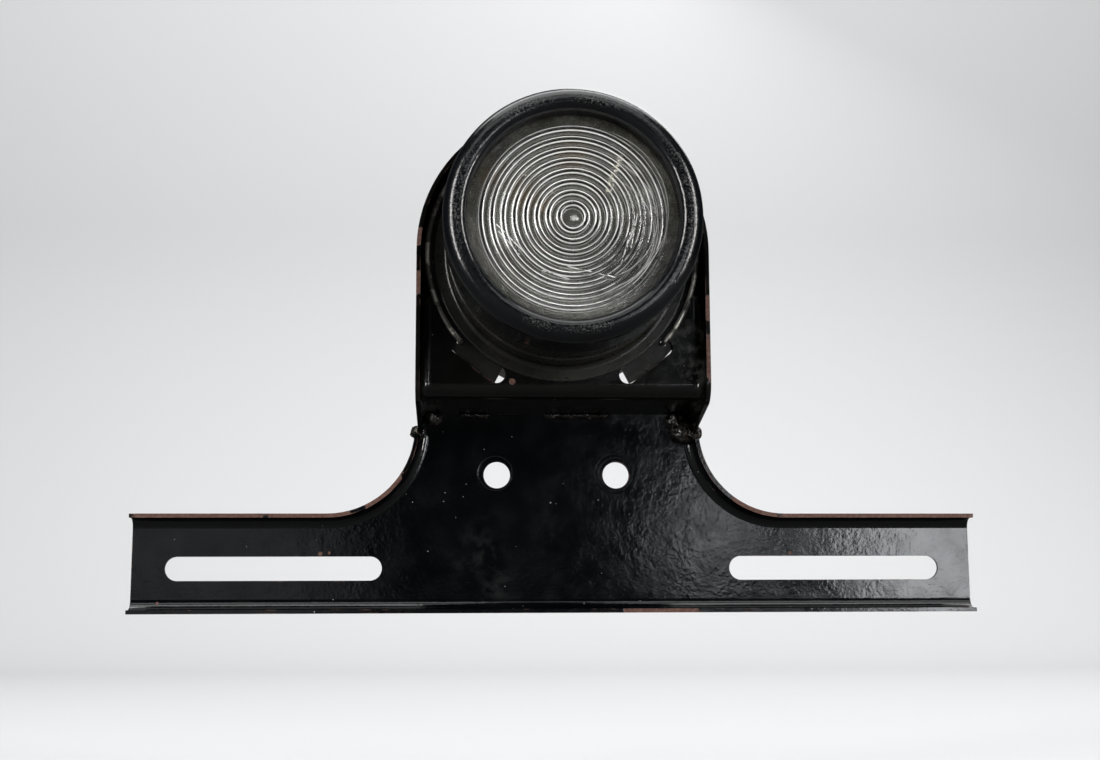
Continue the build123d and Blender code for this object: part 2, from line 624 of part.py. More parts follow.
with BuildPart() as socket_shell:
    with BuildSketch(facing(SHELL_REAR, LAMP_Z)):
        Circle(SHELL_OUTSIDE)
        Circle(SHELL_INSIDE, mode=Mode.SUBTRACT)
    extrude(amount=SHELL_FRONT - SHELL_REAR)
    # the rear end is rolled in to hold the insulator
    with BuildSketch(facing(SHELL_REAR - SHELL_WALL, LAMP_Z)):
        Circle(SHELL_OUTSIDE)
        Circle(SHELL_INSIDE - SHELL_LIP, mode=Mode.SUBTRACT)
    extrude(amount=SHELL_WALL)
    half_pin = math.degrees(PIN_SLOT_HALF / SHELL_OUTSIDE)
    pushed_in = PIN_DEPTH - BULB_TRAVEL - PIN_SLOT_HALF
    # closed hook, leg round the shell, then the way out at its mouth
    for start, end, rear, front in (
        (-half_pin, half_pin, pushed_in, PIN_DEPTH + PIN_SLOT_HALF),
        (-half_pin, PIN_SLOT_TURN + half_pin, pushed_in, pushed_in + 2 * PIN_SLOT_HALF),
        (PIN_SLOT_TURN - half_pin, PIN_SLOT_TURN + half_pin, pushed_in, SHELL_FRONT + MARGIN),
    ):
        with BuildSketch(facing(rear, LAMP_Z)):
            for side in (0, 180):
                with BuildLine():
                    Polyline(*wedge(side + start, side + end, 2 * SHELL_OUTSIDE), close=True)
                make_face()
        extrude(amount=front - rear, mode=Mode.SUBTRACT)
socket_shell.part.label = "socket_shell"
export_step(socket_shell.part, "parts/socket_shell.step")

with BuildPart() as socket_flange:
    with BuildSketch(facing(DRUM_FLOOR, LAMP_Z)):
        Circle(SOCKET_FLANGE_RADIUS)
        Circle(SHELL_OUTSIDE, mode=Mode.SUBTRACT)
        for angle in RIVET_ANGLES:
            with Locations(around(angle, RIVET_CIRCLE)):
                Circle(RIVET_RADIUS, mode=Mode.SUBTRACT)
    extrude(amount=SOCKET_FLANGE_SHEET)
socket_flange.part.label = "socket_flange"
export_step(socket_flange.part, "parts/socket_flange.step")

with BuildPart() as socket_rivets:
    for depth, radius, height in (
        (CARRIER_FRONT, RIVET_RADIUS, DRUM_WALL + SOCKET_FLANGE_SHEET),
        (DRUM_FLOOR + SOCKET_FLANGE_SHEET, RIVET_HEAD, RIVET_HEAD_HEIGHT),
    ):
        with BuildSketch(facing(depth, LAMP_Z)):
            for angle in RIVET_ANGLES:
                with Locations(around(angle, RIVET_CIRCLE)):
                    Circle(radius)
        extrude(amount=height)
    heads = socket_rivets.edges().filter_by(GeomType.CIRCLE).group_by(Axis.Y)[0]
    fillet(heads, RIVET_HEAD_HEIGHT * 0.8)
socket_rivets.part.label = "socket_rivets"
export_step(socket_rivets.part, "parts/socket_rivets.step")


# ---- fixed insulator and terminal at the socket's rear --------------------------------------------
STEM_RADIUS = 1.2
TAB_WIDTH = 5.0
TAB_THICKNESS = 0.7
TAB_REACH = 13.0
TAB_EYE = 3.1
TERMINAL_THREAD = 1.45
TERMINAL_LENGTH = 5.0
TERMINAL_HEAD = 2.75
TERMINAL_HEAD_HEIGHT = 1.6
TERMINAL_SLOT = 0.7
TERMINAL_NUT_HEIGHT = 1.8
TERMINAL_NUT_HALF = 2.9
INSULATOR_REAR = SHELL_REAR
TAB_REAR = SHELL_REAR - SHELL_WALL - TAB_THICKNESS

with BuildPart() as socket_insulator:
    with BuildSketch(facing(INSULATOR_REAR, LAMP_Z)):
        Circle(SHELL_INSIDE)
        Circle(STEM_RADIUS + PLAY, mode=Mode.SUBTRACT)
    extrude(amount=INSULATOR_FRONT - INSULATOR_REAR)
    with BuildSketch(facing(INSULATOR_REAR - SHELL_WALL, LAMP_Z)):
        Circle(SHELL_INSIDE - SHELL_LIP)
        Circle(STEM_RADIUS + PLAY, mode=Mode.SUBTRACT)
    extrude(amount=SHELL_WALL)
socket_insulator.part.label = "socket_insulator"
export_step(socket_insulator.part, "parts/socket_insulator.step")

with BuildPart() as terminal_tab:
    with BuildSketch(facing(TAB_REAR, LAMP_Z)):
        Circle(SHELL_INSIDE - 2 * SHELL_LIP)
        with Locations((0, -TAB_REACH / 2)):
            Rectangle(TAB_WIDTH, TAB_REACH)
        with Locations((0, -TAB_REACH)):
            Circle(TAB_EYE)
            Circle(TERMINAL_THREAD, mode=Mode.SUBTRACT)
        Circle(STEM_RADIUS + PLAY, mode=Mode.SUBTRACT)
    extrude(amount=TAB_THICKNESS)
terminal_tab.part.label = "terminal_tab"
export_step(terminal_tab.part, "parts/terminal_tab.step")

with BuildPart() as terminal_screw:
    with BuildSketch(facing(TAB_REAR - TERMINAL_LENGTH, LAMP_Z - TAB_REACH)):
        Circle(TERMINAL_THREAD)
    extrude(amount=TERMINAL_LENGTH + TAB_THICKNESS)
    with BuildSketch(facing(TAB_REAR - TERMINAL_LENGTH, LAMP_Z - TAB_REACH)):
        Circle(TERMINAL_HEAD)
    extrude(amount=TERMINAL_HEAD_HEIGHT)
    with BuildSketch(facing(TAB_REAR - TERMINAL_LENGTH, LAMP_Z - TAB_REACH)):
        Rectangle(2 * TERMINAL_HEAD + 1, TERMINAL_SLOT)
    extrude(amount=TERMINAL_HEAD_HEIGHT / 2, mode=Mode.SUBTRACT)
terminal_screw.part.label = "terminal_screw"
export_step(terminal_screw.part, "parts/terminal_screw.step")

with BuildPart() as terminal_nut:
    with BuildSketch(facing(TAB_REAR - TERMINAL_NUT_HEIGHT, LAMP_Z - TAB_REACH)):
        RegularPolygon(TERMINAL_NUT_HALF, 6, major_radius=False)
        Circle(TERMINAL_THREAD, mode=Mode.SUBTRACT)
    extrude(amount=TERMINAL_NUT_HEIGHT)
terminal_nut.part.label = "terminal_nut"
export_step(terminal_nut.part, "parts/terminal_nut.step")


# ---- sprung contact: disc, plunger and spring ------------------------------------------------------
PLUNGER_HEAD = 2.4
DISC_THICKNESS = 1.4
DISC_PLAY = 0.35
STEM_LENGTH = 10.5          # behind the disc
SPRING_COIL = 3.3
SPRING_WIRE = 0.3
SPRING_TURNS = 3
SPRING_GAP = 0.02           # between the spring and what it presses on

with BuildPart() as contact_disc:
    with BuildSketch(facing(DISC_REAR, LAMP_Z)):
        Circle(SHELL_INSIDE - DISC_PLAY)
        Circle(STEM_RADIUS, mode=Mode.SUBTRACT)
    extrude(amount=DISC_THICKNESS)
contact_disc.part.label = "contact_disc"
export_step(contact_disc.part, "parts/contact_disc.step")

with BuildPart() as contact_plunger:
    with BuildSketch(facing(DISC_REAR - STEM_LENGTH, LAMP_Z)):
        Circle(STEM_RADIUS)
    extrude(amount=STEM_LENGTH + DISC_THICKNESS)
    with BuildSketch(facing(DISC_REAR + DISC_THICKNESS, LAMP_Z)):
        Circle(PLUNGER_HEAD)
    extrude(amount=CONTACT_FACE - DISC_REAR - DISC_THICKNESS)
contact_plunger.part.label = "contact_plunger"
export_step(contact_plunger.part, "parts/contact_plunger.step")

with BuildPart() as contact_spring:
    spring_rear = INSULATOR_FRONT + SPRING_WIRE + SPRING_GAP
    spring_length = DISC_REAR - INSULATOR_FRONT - 2 * (SPRING_WIRE + SPRING_GAP)
    with BuildLine():
        coil = Helix(
            pitch=spring_length / SPRING_TURNS,
            height=spring_length,
            radius=SPRING_COIL,
            center=(0, -spring_rear, LAMP_Z),
            direction=(0, -1, 0),
        )
    with BuildSketch(Plane(origin=coil @ 0, z_dir=coil % 0)):
        Circle(SPRING_WIRE)
    sweep()
contact_spring.part.label = "contact_spring"
export_step(contact_spring.part, "parts/contact_spring.step")


# ---- bayonet bulb -----------------------------------------------------------------------------------
BASE_SHEET = 0.4
BASE_CORNER = 0.6
BASE_GLASS = 2.0
BULB_CONTACT = 2.1
GLASS_SEAT = 4.0            # how far the blown glass reaches into the base
MOUNT_DISC = 1.5
MOUNT_STEM = 2.0
PIN_TIP = 8.7
STEM_FRONT = 50.5
FILAMENT_HALF = 2.2
FILAMENT_DEPTH = 55.2
LEAD_RADIUS = 0.25
LEAD_SPACING = 1.2
LEAD_LEAN = 14
FILAMENT_PITCH = 0.55
FILAMENT_COIL = 0.45
FILAMENT_WIRE = 0.12
FILAMENT_CLEARANCE = 0.7

with BuildPart() as bulb_base:
    with BuildSketch(facing(BULB_BASE_REAR, LAMP_Z)):
        Circle(BULB_BASE_RADIUS)
    extrude(amount=BULB_BASE_FRONT - BULB_BASE_REAR)
    fillet(bulb_base.edges().group_by(Axis.Y)[-1], BASE_CORNER)
    for side in (0, 180):
        with BuildSketch(radial(side, PIN_DEPTH, BULB_BASE_RADIUS - 1)):
            Circle(PIN_RADIUS)
        extrude(amount=PIN_TIP - BULB_BASE_RADIUS + 1)
    with BuildSketch(facing(BULB_BASE_REAR, LAMP_Z)):
        Circle(BULB_BASE_RADIUS - BASE_SHEET)
    extrude(amount=BULB_BASE_FRONT - BULB_BASE_REAR, mode=Mode.SUBTRACT)
bulb_base.part.label = "bulb_base"
export_step(bulb_base.part, "parts/bulb_base.step")

with BuildPart() as bulb_base_glass:
    with BuildSketch(facing(BULB_BASE_REAR, LAMP_Z)):
        Circle(BULB_BASE_RADIUS - BASE_SHEET)
    extrude(amount=BASE_GLASS)
bulb_base_glass.part.label = "bulb_base_glass"
export_step(bulb_base_glass.part, "parts/bulb_base_glass.step")

with BuildPart() as bulb_contact:
    with BuildSketch(facing(CONTACT_FACE, LAMP_Z)):
        Circle(BULB_CONTACT)
    extrude(amount=BULB_BASE_REAR - CONTACT_FACE)
    fillet(bulb_contact.edges().group_by(Axis.Y)[-1], BULB_CONTACT / 2)
bulb_contact.part.label = "bulb_contact"
export_step(bulb_contact.part, "parts/bulb_contact.step")

with BuildPart() as bulb_glass:
    with BuildSketch(facing(BULB_BASE_FRONT - GLASS_SEAT, LAMP_Z)):
        Circle(BULB_NECK)
    extrude(amount=BULB_CENTRE - BULB_BASE_FRONT + GLASS_SEAT)
    with Locations((0, -BULB_CENTRE, LAMP_Z)):
        Sphere(BULB_BALL)
    shoulder = bulb_glass.edges().filter_by(GeomType.CIRCLE).filter_by(
        lambda edge: abs(edge.radius - BULB_NECK) < 0.01 and -edge.center().Y > BULB_BASE_FRONT
    )
    fillet(shoulder, 1.5)
    with BuildSketch(facing(BULB_BASE_FRONT - GLASS_SEAT, LAMP_Z)):
        Circle(BULB_NECK - BULB_GLASS)
    extrude(amount=BULB_CENTRE - BULB_BASE_FRONT + GLASS_SEAT, mode=Mode.SUBTRACT)
    with Locations((0, -BULB_CENTRE, LAMP_Z)):
        Sphere(BULB_BALL - BULB_GLASS, mode=Mode.SUBTRACT)
bulb_glass.part.label = "bulb_glass"
export_step(bulb_glass.part, "parts/bulb_glass.step")

with BuildPart() as bulb_mount:
    with BuildSketch(facing(BULB_BASE_FRONT - GLASS_SEAT, LAMP_Z)):
        Circle(BULB_NECK - BULB_GLASS - PLAY)
    extrude(amount=MOUNT_DISC)
    with BuildSketch(facing(BULB_BASE_FRONT - GLASS_SEAT + MOUNT_DISC, LAMP_Z)):
        Circle(MOUNT_STEM)
    extrude(amount=STEM_FRONT - BULB_BASE_FRONT + GLASS_SEAT - MOUNT_DISC)
    fillet(bulb_mount.edges().group_by(Axis.Y)[0], 0.9)
bulb_mount.part.label = "bulb_mount"
export_step(bulb_mount.part, "parts/bulb_mount.step")

with BuildPart() as bulb_leads:
    lead_length = FILAMENT_DEPTH - FILAMENT_CLEARANCE - STEM_FRONT
    for side in (-1, 1):
        with Locations((side * LEAD_SPACING, -(STEM_FRONT + lead_length / 2), LAMP_Z)):
            Cylinder(LEAD_RADIUS, lead_length, rotation=(90, 0, side * LEAD_LEAN))
bulb_leads.part.label = "bulb_leads"
export_step(bulb_leads.part, "parts/bulb_leads.step")

with BuildPart() as bulb_filament:
    with BuildLine():
        turns = Helix(
            pitch=FILAMENT_PITCH,
            height=2 * FILAMENT_HALF,
            radius=FILAMENT_COIL,
            center=(-FILAMENT_HALF, -FILAMENT_DEPTH, LAMP_Z),
            direction=(1, 0, 0),
        )
    with BuildSketch(Plane(origin=turns @ 0, z_dir=turns % 0)):
        Circle(FILAMENT_WIRE)
    sweep()
bulb_filament.part.label = "bulb_filament"
export_step(bulb_filament.part, "parts/bulb_filament.step")


# ---- lens, its gasket and its ring ---------------------------------------------------------------
GASKET_INSIDE = 28.6
GASKET_OUTSIDE = 31.6
GASKET_REAR = DRUM_FRONT + BOWL_SHEET + PLAY
CROWN_RADIUS = 27.2         # where the lens's domed face ends
BULLSEYE_RADIUS = 1.5
RING_WIRE = 0.65
RING_GAP = 20.0             # degrees left open in the spring ring

with BuildPart() as lens:
    with BuildSketch(LAMP_SECTION):
        with BuildLine():
            bullseye = (0, LENS_SEAT_DEPTH + LENS_CROWN)
            crown_edge = (CROWN_RADIUS, LENS_SEAT_DEPTH - 0.05)
            Line((0, LENS_REAR), bullseye)
            ThreePointArc(
                bullseye,
                (crown_edge[0] / 2, LENS_SEAT_DEPTH + LENS_CROWN * 0.75),
                crown_edge,
            )
            Polyline(crown_edge, (LENS_RADIUS, crown_edge[1]), (LENS_RADIUS, LENS_REAR), (0, LENS_REAR))
        make_face()
        for ring in range(LENS_RINGS):
            with Locations((LENS_FIRST_RING + ring * LENS_RING_PITCH, LENS_REAR + 0.05)):
                Circle(LENS_RING_RADIUS)
    revolve(axis=LAMP_AXIS)
    with Locations((0, -LENS_REAR, LAMP_Z)):
        Sphere(BULLSEYE_RADIUS)
lens.part.label = "lens"
export_step(lens.part, "parts/lens.step")

with BuildPart() as lens_gasket:
    with BuildSketch(facing(GASKET_REAR, LAMP_Z)):
        Circle(GASKET_OUTSIDE)
        Circle(GASKET_INSIDE, mode=Mode.SUBTRACT)
    extrude(amount=LENS_REAR - GASKET_REAR)
lens_gasket.part.label = "lens_gasket"
export_step(lens_gasket.part, "parts/lens_gasket.step")

with BuildPart() as lens_ring:
    with BuildSketch(LAMP_SECTION):
        with Locations((BEZEL_INSIDE - RING_WIRE, LENS_REAR - RING_WIRE)):
            Circle(RING_WIRE)
    revolve(axis=LAMP_AXIS, revolution_arc=360 - RING_GAP)
lens_ring.part.label = "lens_ring"
export_step(lens_ring.part, "parts/lens_ring.step")


# ---- bezel: skirt, rolled front and bayonet lugs ---------------------------------------------------
BEZEL_OUTSIDE = BEZEL_INSIDE + BEZEL_SHEET
CREST_RADIUS = 30.2         # radius of the crest from the lamp's axis
SHOULDER_RISE = 3.6         # outer quarter of the roll, from skirt to crest
LIP_RISE = 2.2              # inner quarter, from crest to lens
SHOULDER_DEPTH = BEZEL_CREST - SHOULDER_RISE
LIP_DEPTH = BEZEL_CREST - LIP_RISE

with BuildPart() as bezel:
    with BuildSketch(LAMP_SECTION):
        with BuildLine():
            Line((BEZEL_INSIDE, BEZEL_REAR), (BEZEL_OUTSIDE, BEZEL_REAR))
            Line((BEZEL_OUTSIDE, BEZEL_REAR), (BEZEL_OUTSIDE, SHOULDER_DEPTH))
            # the rolled front is two quarter ellipses, on the outside and again inside the sheet
            for sheet in (0, BEZEL_SHEET):
                EllipticalCenterArc(
                    (CREST_RADIUS, SHOULDER_DEPTH),
                    BEZEL_OUTSIDE - CREST_RADIUS - sheet,
                    SHOULDER_RISE - sheet,
                    start_angle=0,
                    arc_size=90,
                )
                EllipticalCenterArc(
                    (CREST_RADIUS, LIP_DEPTH),
                    CREST_RADIUS - BEZEL_APERTURE - sheet,
                    LIP_RISE - sheet,
                    start_angle=90,
                    arc_size=90,
                )
            Polyline(
                (BEZEL_APERTURE, LIP_DEPTH),
                (BEZEL_APERTURE, LENS_SEAT_DEPTH),
                (BEZEL_APERTURE + BEZEL_SHEET, LENS_SEAT_DEPTH),
                (BEZEL_APERTURE + BEZEL_SHEET, LIP_DEPTH),
            )
            Line((BEZEL_INSIDE, SHOULDER_DEPTH), (BEZEL_INSIDE, BEZEL_REAR))
        make_face()
    revolve(axis=LAMP_AXIS)
    for angle in LUG_ANGLES:
        with BuildSketch(radial(angle, LUG_DEPTH, DRUM_RADIUS - DRUM_WALL + 0.3)):
            Circle(LUG_RADIUS)
        extrude(amount=BEZEL_INSIDE - DRUM_RADIUS + DRUM_WALL)
bezel.part.label = "bezel"
export_step(bezel.part, "parts/bezel.step")
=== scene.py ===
"""A motorcycle tail lamp on a pressed carrier, with its licence-plate bracket."""
import math

import bmesh
import bpy
from mathutils import Matrix, Vector, noise


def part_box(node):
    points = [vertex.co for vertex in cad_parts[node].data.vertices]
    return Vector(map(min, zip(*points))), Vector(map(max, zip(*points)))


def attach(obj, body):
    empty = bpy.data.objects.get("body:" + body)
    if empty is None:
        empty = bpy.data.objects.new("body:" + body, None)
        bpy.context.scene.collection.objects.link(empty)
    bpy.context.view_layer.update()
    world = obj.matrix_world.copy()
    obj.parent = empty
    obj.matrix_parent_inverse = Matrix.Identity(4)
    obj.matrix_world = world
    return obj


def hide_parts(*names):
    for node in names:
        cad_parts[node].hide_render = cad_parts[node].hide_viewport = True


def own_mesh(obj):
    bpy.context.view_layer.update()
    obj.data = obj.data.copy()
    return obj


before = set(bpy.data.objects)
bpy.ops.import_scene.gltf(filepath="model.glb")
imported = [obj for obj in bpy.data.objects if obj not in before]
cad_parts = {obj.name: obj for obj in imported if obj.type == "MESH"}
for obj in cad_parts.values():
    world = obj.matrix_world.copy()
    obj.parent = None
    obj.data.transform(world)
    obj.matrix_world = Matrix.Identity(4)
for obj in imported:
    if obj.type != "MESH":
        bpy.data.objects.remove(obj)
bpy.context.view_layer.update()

# ---- camera ----------------------------------------------------------------------------------
# The eye is a little left of the lamp and below it, close enough to show its depth, and looks up
# by eight degrees.
EYE = Vector((-0.0278, -0.4538, -0.0355))
EYE_TURN = math.radians(3.28)
EYE_LIFT = math.radians(8.14)
EYE_ROLL = math.radians(-0.17)
EYE_LENS = 48.63
EYE_SENSOR = 36


def set_out(name, data):
    """Puts a camera, light or mesh in the scene as a new object."""
    made = bpy.data.objects.new(name, data)
    bpy.context.collection.objects.link(made)
    return made


ahead = Vector((math.sin(EYE_TURN) * math.cos(EYE_LIFT), math.cos(EYE_TURN) * math.cos(EYE_LIFT),
                math.sin(EYE_LIFT)))
rightward = ahead.cross(Vector((0, 0, 1))).normalized()
upward = rightward.cross(ahead)
eye = set_out("eye", bpy.data.cameras.new("eye"))
eye.data.sensor_width = EYE_SENSOR
eye.data.lens = EYE_LENS
eye.data.clip_start = 0.01
turned = Matrix((rightward, upward, -ahead)).transposed().to_4x4()
eye.matrix_world = Matrix.Translation(EYE) @ turned @ Matrix.Rotation(EYE_ROLL, 4, "Z")
bpy.context.scene.camera = eye
bpy.context.scene.view_settings.view_transform = "Standard"


# ---- floor, backdrop and lights ----------------------------------------------------------------
# A pale floor well below the held-up lamp sweeps up into a pale wall behind it. Soft boxes above
# and at both sides give the long highlights that black enamel shows.
FLOOR_Z = -0.10
WALL_Y = 1.3
SWEEP = 0.5
SWEEP_STEPS = 16
HALF_STAGE = 3.0
LAMP_MIDDLE = (0, -0.06, 0.05)

# where a Mix node keeps its two colours and its result
MIX_UNDER, MIX_OVER, MIX_RESULT = 6, 7, 2


def pale_to_eye(tree, socket, dim, pale):
    """Feeds a socket a pale colour for the camera and a dim one for the lamp's own reflections.

    The dim one keeps the stage from washing out the black enamel.
    """
    watched = tree.nodes.new("ShaderNodeLightPath")
    tone = tree.nodes.new("ShaderNodeMix")
    tone.data_type = "RGBA"
    tone.inputs[MIX_UNDER].default_value = (*dim, 1)
    tone.inputs[MIX_OVER].default_value = (*pale, 1)
    tree.links.new(watched.outputs["Is Camera Ray"], tone.inputs[0])
    tree.links.new(tone.outputs[MIX_RESULT], socket)


def backdrop():
    """Floor and wall as one sheet with a rounded corner."""
    profile = [(-HALF_STAGE, FLOOR_Z), (WALL_Y - SWEEP, FLOOR_Z)]
    for step in range(1, SWEEP_STEPS + 1):
        turn = math.radians(90 * step / SWEEP_STEPS)
        profile.append((WALL_Y - SWEEP + SWEEP * math.sin(turn), FLOOR_Z + SWEEP * (1 - math.cos(turn))))
    profile.append((WALL_Y, HALF_STAGE))
    points = [(x, y, z) for x in (-HALF_STAGE, HALF_STAGE) for y, z in profile]
    count = len(profile)
    faces = [(i, i + 1, count + i + 1, count + i) for i in range(count - 1)]
    mesh = bpy.data.meshes.new("backdrop")
    mesh.from_pydata(points, [], faces)
    mesh.shade_smooth()
    paper = bpy.data.materials.new("backdrop")
    paper.use_nodes = True
    shader = paper.node_tree.nodes["Principled BSDF"]
    shader.inputs["Roughness"].default_value = 0.9
    pale_to_eye(paper.node_tree, shader.inputs["Base Color"], (0.07, 0.07, 0.07), (0.66, 0.665, 0.675))
    mesh.materials.append(paper)
    set_out("backdrop", mesh)


def soft_box(name, place, target, width, height, watts, colour=(1, 1, 1)):
    """An area light at a place, facing a target. Its sides are in metres."""
    light = bpy.data.lights.new(name, "AREA")
    light.shape = "RECTANGLE"
    light.size = width
    light.size_y = height
    light.energy = watts
    light.color = colour
    box = set_out(name, light)
    box.location = place
    box.rotation_mode = "QUATERNION"
    box.rotation_quaternion = (Vector(target) - Vector(place)).to_track_quat("-Z", "Y")


backdrop()
soft_box("overhead", (0, -0.30, 1.20), LAMP_MIDDLE, 1.2, 0.8, 9)
soft_box("left_box", (-0.95, -0.85, 0.25), LAMP_MIDDLE, 0.22, 1.0, 12, (1.0, 0.99, 0.97))
soft_box("right_box", (1.00, -0.80, 0.25), LAMP_MIDDLE, 0.20, 1.0, 11, (1.0, 0.99, 0.97))
soft_box("right_arm_box", (0.61, -1.5, 0.02), (0.1, 0, 0), 0.22, 0.42, 2.6, (0.94, 0.97, 1.0))
soft_box("left_arm_box", (-0.36, -1.5, -0.01), (-0.1, 0, 0), 0.34, 0.30, 0.15, (0.95, 0.98, 1.0))
soft_box("neck_box", (0.318, -1.5, 0.110), (0.04, 0, 0), 0.030, 0.060, 0.07, (0.93, 0.97, 1.0))
soft_box("fan_box", (0.30, -1.5, 0.03), (0.05, 0, 0), 0.12, 0.10, 0.12, (0.90, 0.95, 1.0))
soft_box("wall_wash", (0, 0.25, 1.7), (0, WALL_Y, 0.3), 2.2, 0.5, 18.5)
soft_box("front_floor_wash", (0, -1.9, 1.7), (0, -1.9, FLOOR_Z), 2.6, 1.0, 16)
soft_box("rear_box", (0.5, 0.95, 1.0), LAMP_MIDDLE, 0.9, 0.5, 5)
soft_box("floor_wash", (0, 0.5, 1.6), (0, 0.5, FLOOR_Z), 2.2, 0.6, 5)

world = bpy.data.worlds.new("studio")
bpy.context.scene.world = world
world.use_nodes = True
sky = world.node_tree.nodes["Background"]
pale_to_eye(world.node_tree, sky.inputs["Color"], (0.016, 0.017, 0.019), (0.62, 0.625, 0.635))


# ---- licence-plate bracket ----------------------------------------------------------------------
# Sheet steel pressed into a shallow T with its edges turned forward, and bolted to the fender.
# Black enamel over red primer, with orange peel, settled dust and chips down to the primer along
# its cut edges.
class Shading:
    """A material being wired up: it makes nodes and links them in one call."""

    def __init__(self, name):
        self.material = bpy.data.materials.new(name)
        self.material.use_nodes = True
        self.tree = self.material.node_tree
        self.shader = self.tree.nodes["Principled BSDF"]
        self.place = self.node("ShaderNodeTexCoord").outputs["Object"]

    def node(self, kind, settings=(), **inputs):
        """Adds a node, sets its properties, and sets or links its inputs by name."""
        made = self.tree.nodes.new(kind)
        for key, value in dict(settings).items():
            setattr(made, key, value)
        for key, value in inputs.items():
            self.feed(made.inputs[key.replace("_", " ")], value)
        return made

    def feed(self, socket, value):
        """Links an output to a socket, or sets the socket to a value."""
        if isinstance(value, bpy.types.NodeSocket):
            self.tree.links.new(value, socket)
        else:
            socket.default_value = value

    def maths(self, operation, first, second=0.0, clamp=False):
        """One Math node."""
        made = self.node("ShaderNodeMath", {"operation": operation, "use_clamp": clamp})
        self.feed(made.inputs[0], first)
        self.feed(made.inputs[1], second)
        return made.outputs[0]

    def times(self, first, *others):
        """All the values multiplied together."""
        for other in others:
            first = self.maths("MULTIPLY", first, other)
        return first

    def most(self, first, *others):
        """The largest of the values."""
        for other in others:
            first = self.maths("MAXIMUM", first, other)
        return first

    def mix(self, share, first, second):
        """The second colour laid over the first, by a share from 0 to 1."""
        made = self.node("ShaderNodeMix", {"data_type": "RGBA"})
        self.feed(made.inputs[0], share)
        self.feed(made.inputs[MIX_UNDER], first)
        self.feed(made.inputs[MIX_OVER], second)
        return made.outputs[MIX_RESULT]

    def ramp(self, value, low, high, to_low=0.0, to_high=1.0):
        """Maps a value from one range to another and holds it there."""
        made = self.node("ShaderNodeMapRange", {"clamp": True})
        for socket, number in zip(made.inputs, (value, low, high, to_low, to_high)):
            self.feed(socket, number)
        return made.outputs[0]

    def band(self, value, middle, inner, outer):
        """1 where a value is within inner of the middle, fading to 0 at outer."""
        away = self.maths("ABSOLUTE", self.maths("SUBTRACT", value, middle))
        return self.ramp(away, inner, outer, 1.0, 0.0)

    def cloud(self, size, detail=2.0, place=None):
        """Noise whose lumps are about size metres across, from 0 to 1."""
        made = self.node("ShaderNodeTexNoise", Scale=1 / size, Detail=detail, Roughness=0.55)
        self.feed(made.inputs["Vector"], place or self.place)
        return made.outputs["Fac"]

    def specks(self, spacing, size):
        """Round specks: 1 inside a speck and 0 outside."""
        cells = self.node("ShaderNodeTexVoronoi", Vector=self.place, Scale=1 / spacing, Randomness=1.0)
        near = self.ramp(cells.outputs["Distance"], size * 0.6, size, 1.0, 0.0)
        chosen = self.node("ShaderNodeSeparateColor", Color=cells.outputs["Color"])
        return self.times(near, self.maths("GREATER_THAN", chosen.outputs[0], 0.40))

    def near_points(self, points):
        """1 close to any of the points, fading out: each point is x, y, z and a radius in metres."""
        spots = []
        for x, y, z, radius in points:
            away = self.node("ShaderNodeVectorMath", {"operation": "DISTANCE"})
            self.feed(away.inputs[0], self.place)
            self.feed(away.inputs[1], (x, y, z))
            spots.append(self.ramp(away.outputs["Value"], radius * 0.3, radius, 1.0, 0.0))
        return self.most(*spots)

    def away_from(self, x, z):
        """Distance from a front-to-back line through x and z, in metres."""
        parts = self.node("ShaderNodeSeparateXYZ", Vector=self.place)
        across = self.maths("SUBTRACT", parts.outputs["X"], x)
        above = self.maths("SUBTRACT", parts.outputs["Z"], z)
        return self.maths("SQRT", self.maths("ADD", self.times(across, across), self.times(above, above)))

    def rings(self, circles):
        """1 along circles pressed into the sheet's front: each is x, z and a radius in metres."""
        return self.most(*(self.band(self.away_from(x, z), radius, 0.0, 0.0004) for x, z, radius in circles))

    def sharp_edges(self, radius):
        """1 on the edges and corners of the sheet, 0 on its flats."""
        rounded = self.node("ShaderNodeBevel", {"samples": 4}, Radius=radius)
        plain_normal = self.node("ShaderNodeNewGeometry").outputs["Normal"]
        across = self.node("ShaderNodeVectorMath", {"operation": "DOT_PRODUCT"})
        self.feed(across.inputs[0], rounded.outputs[0])
        self.feed(across.inputs[1], plain_normal)
        return self.ramp(across.outputs["Value"], 0.80, 0.97, 1.0, 0.0)

    def relief(self, *heights):
        """Bumps given in metres, added together."""
        total = heights[0]
        for height in heights[1:]:
            total = self.maths("ADD", total, height)
        bump = self.node("ShaderNodeBump", Height=total)
        bump.inputs["Distance"].default_value = 1.0
        bump.inputs["Strength"].default_value = 1.0
        self.tree.links.new(bump.outputs[0], self.shader.inputs["Normal"])


PRIMER = (0.085, 0.032, 0.022, 1)
PRIMER_PALE = (0.145, 0.076, 0.055, 1)
DUST = (0.30, 0.31, 0.32, 1)
SCUFFED = (0.20, 0.20, 0.19, 1)
CHIP_DEPTH = (0.0002, 0.0006)   # how far back from the front edge a chip starts to fade, and ends


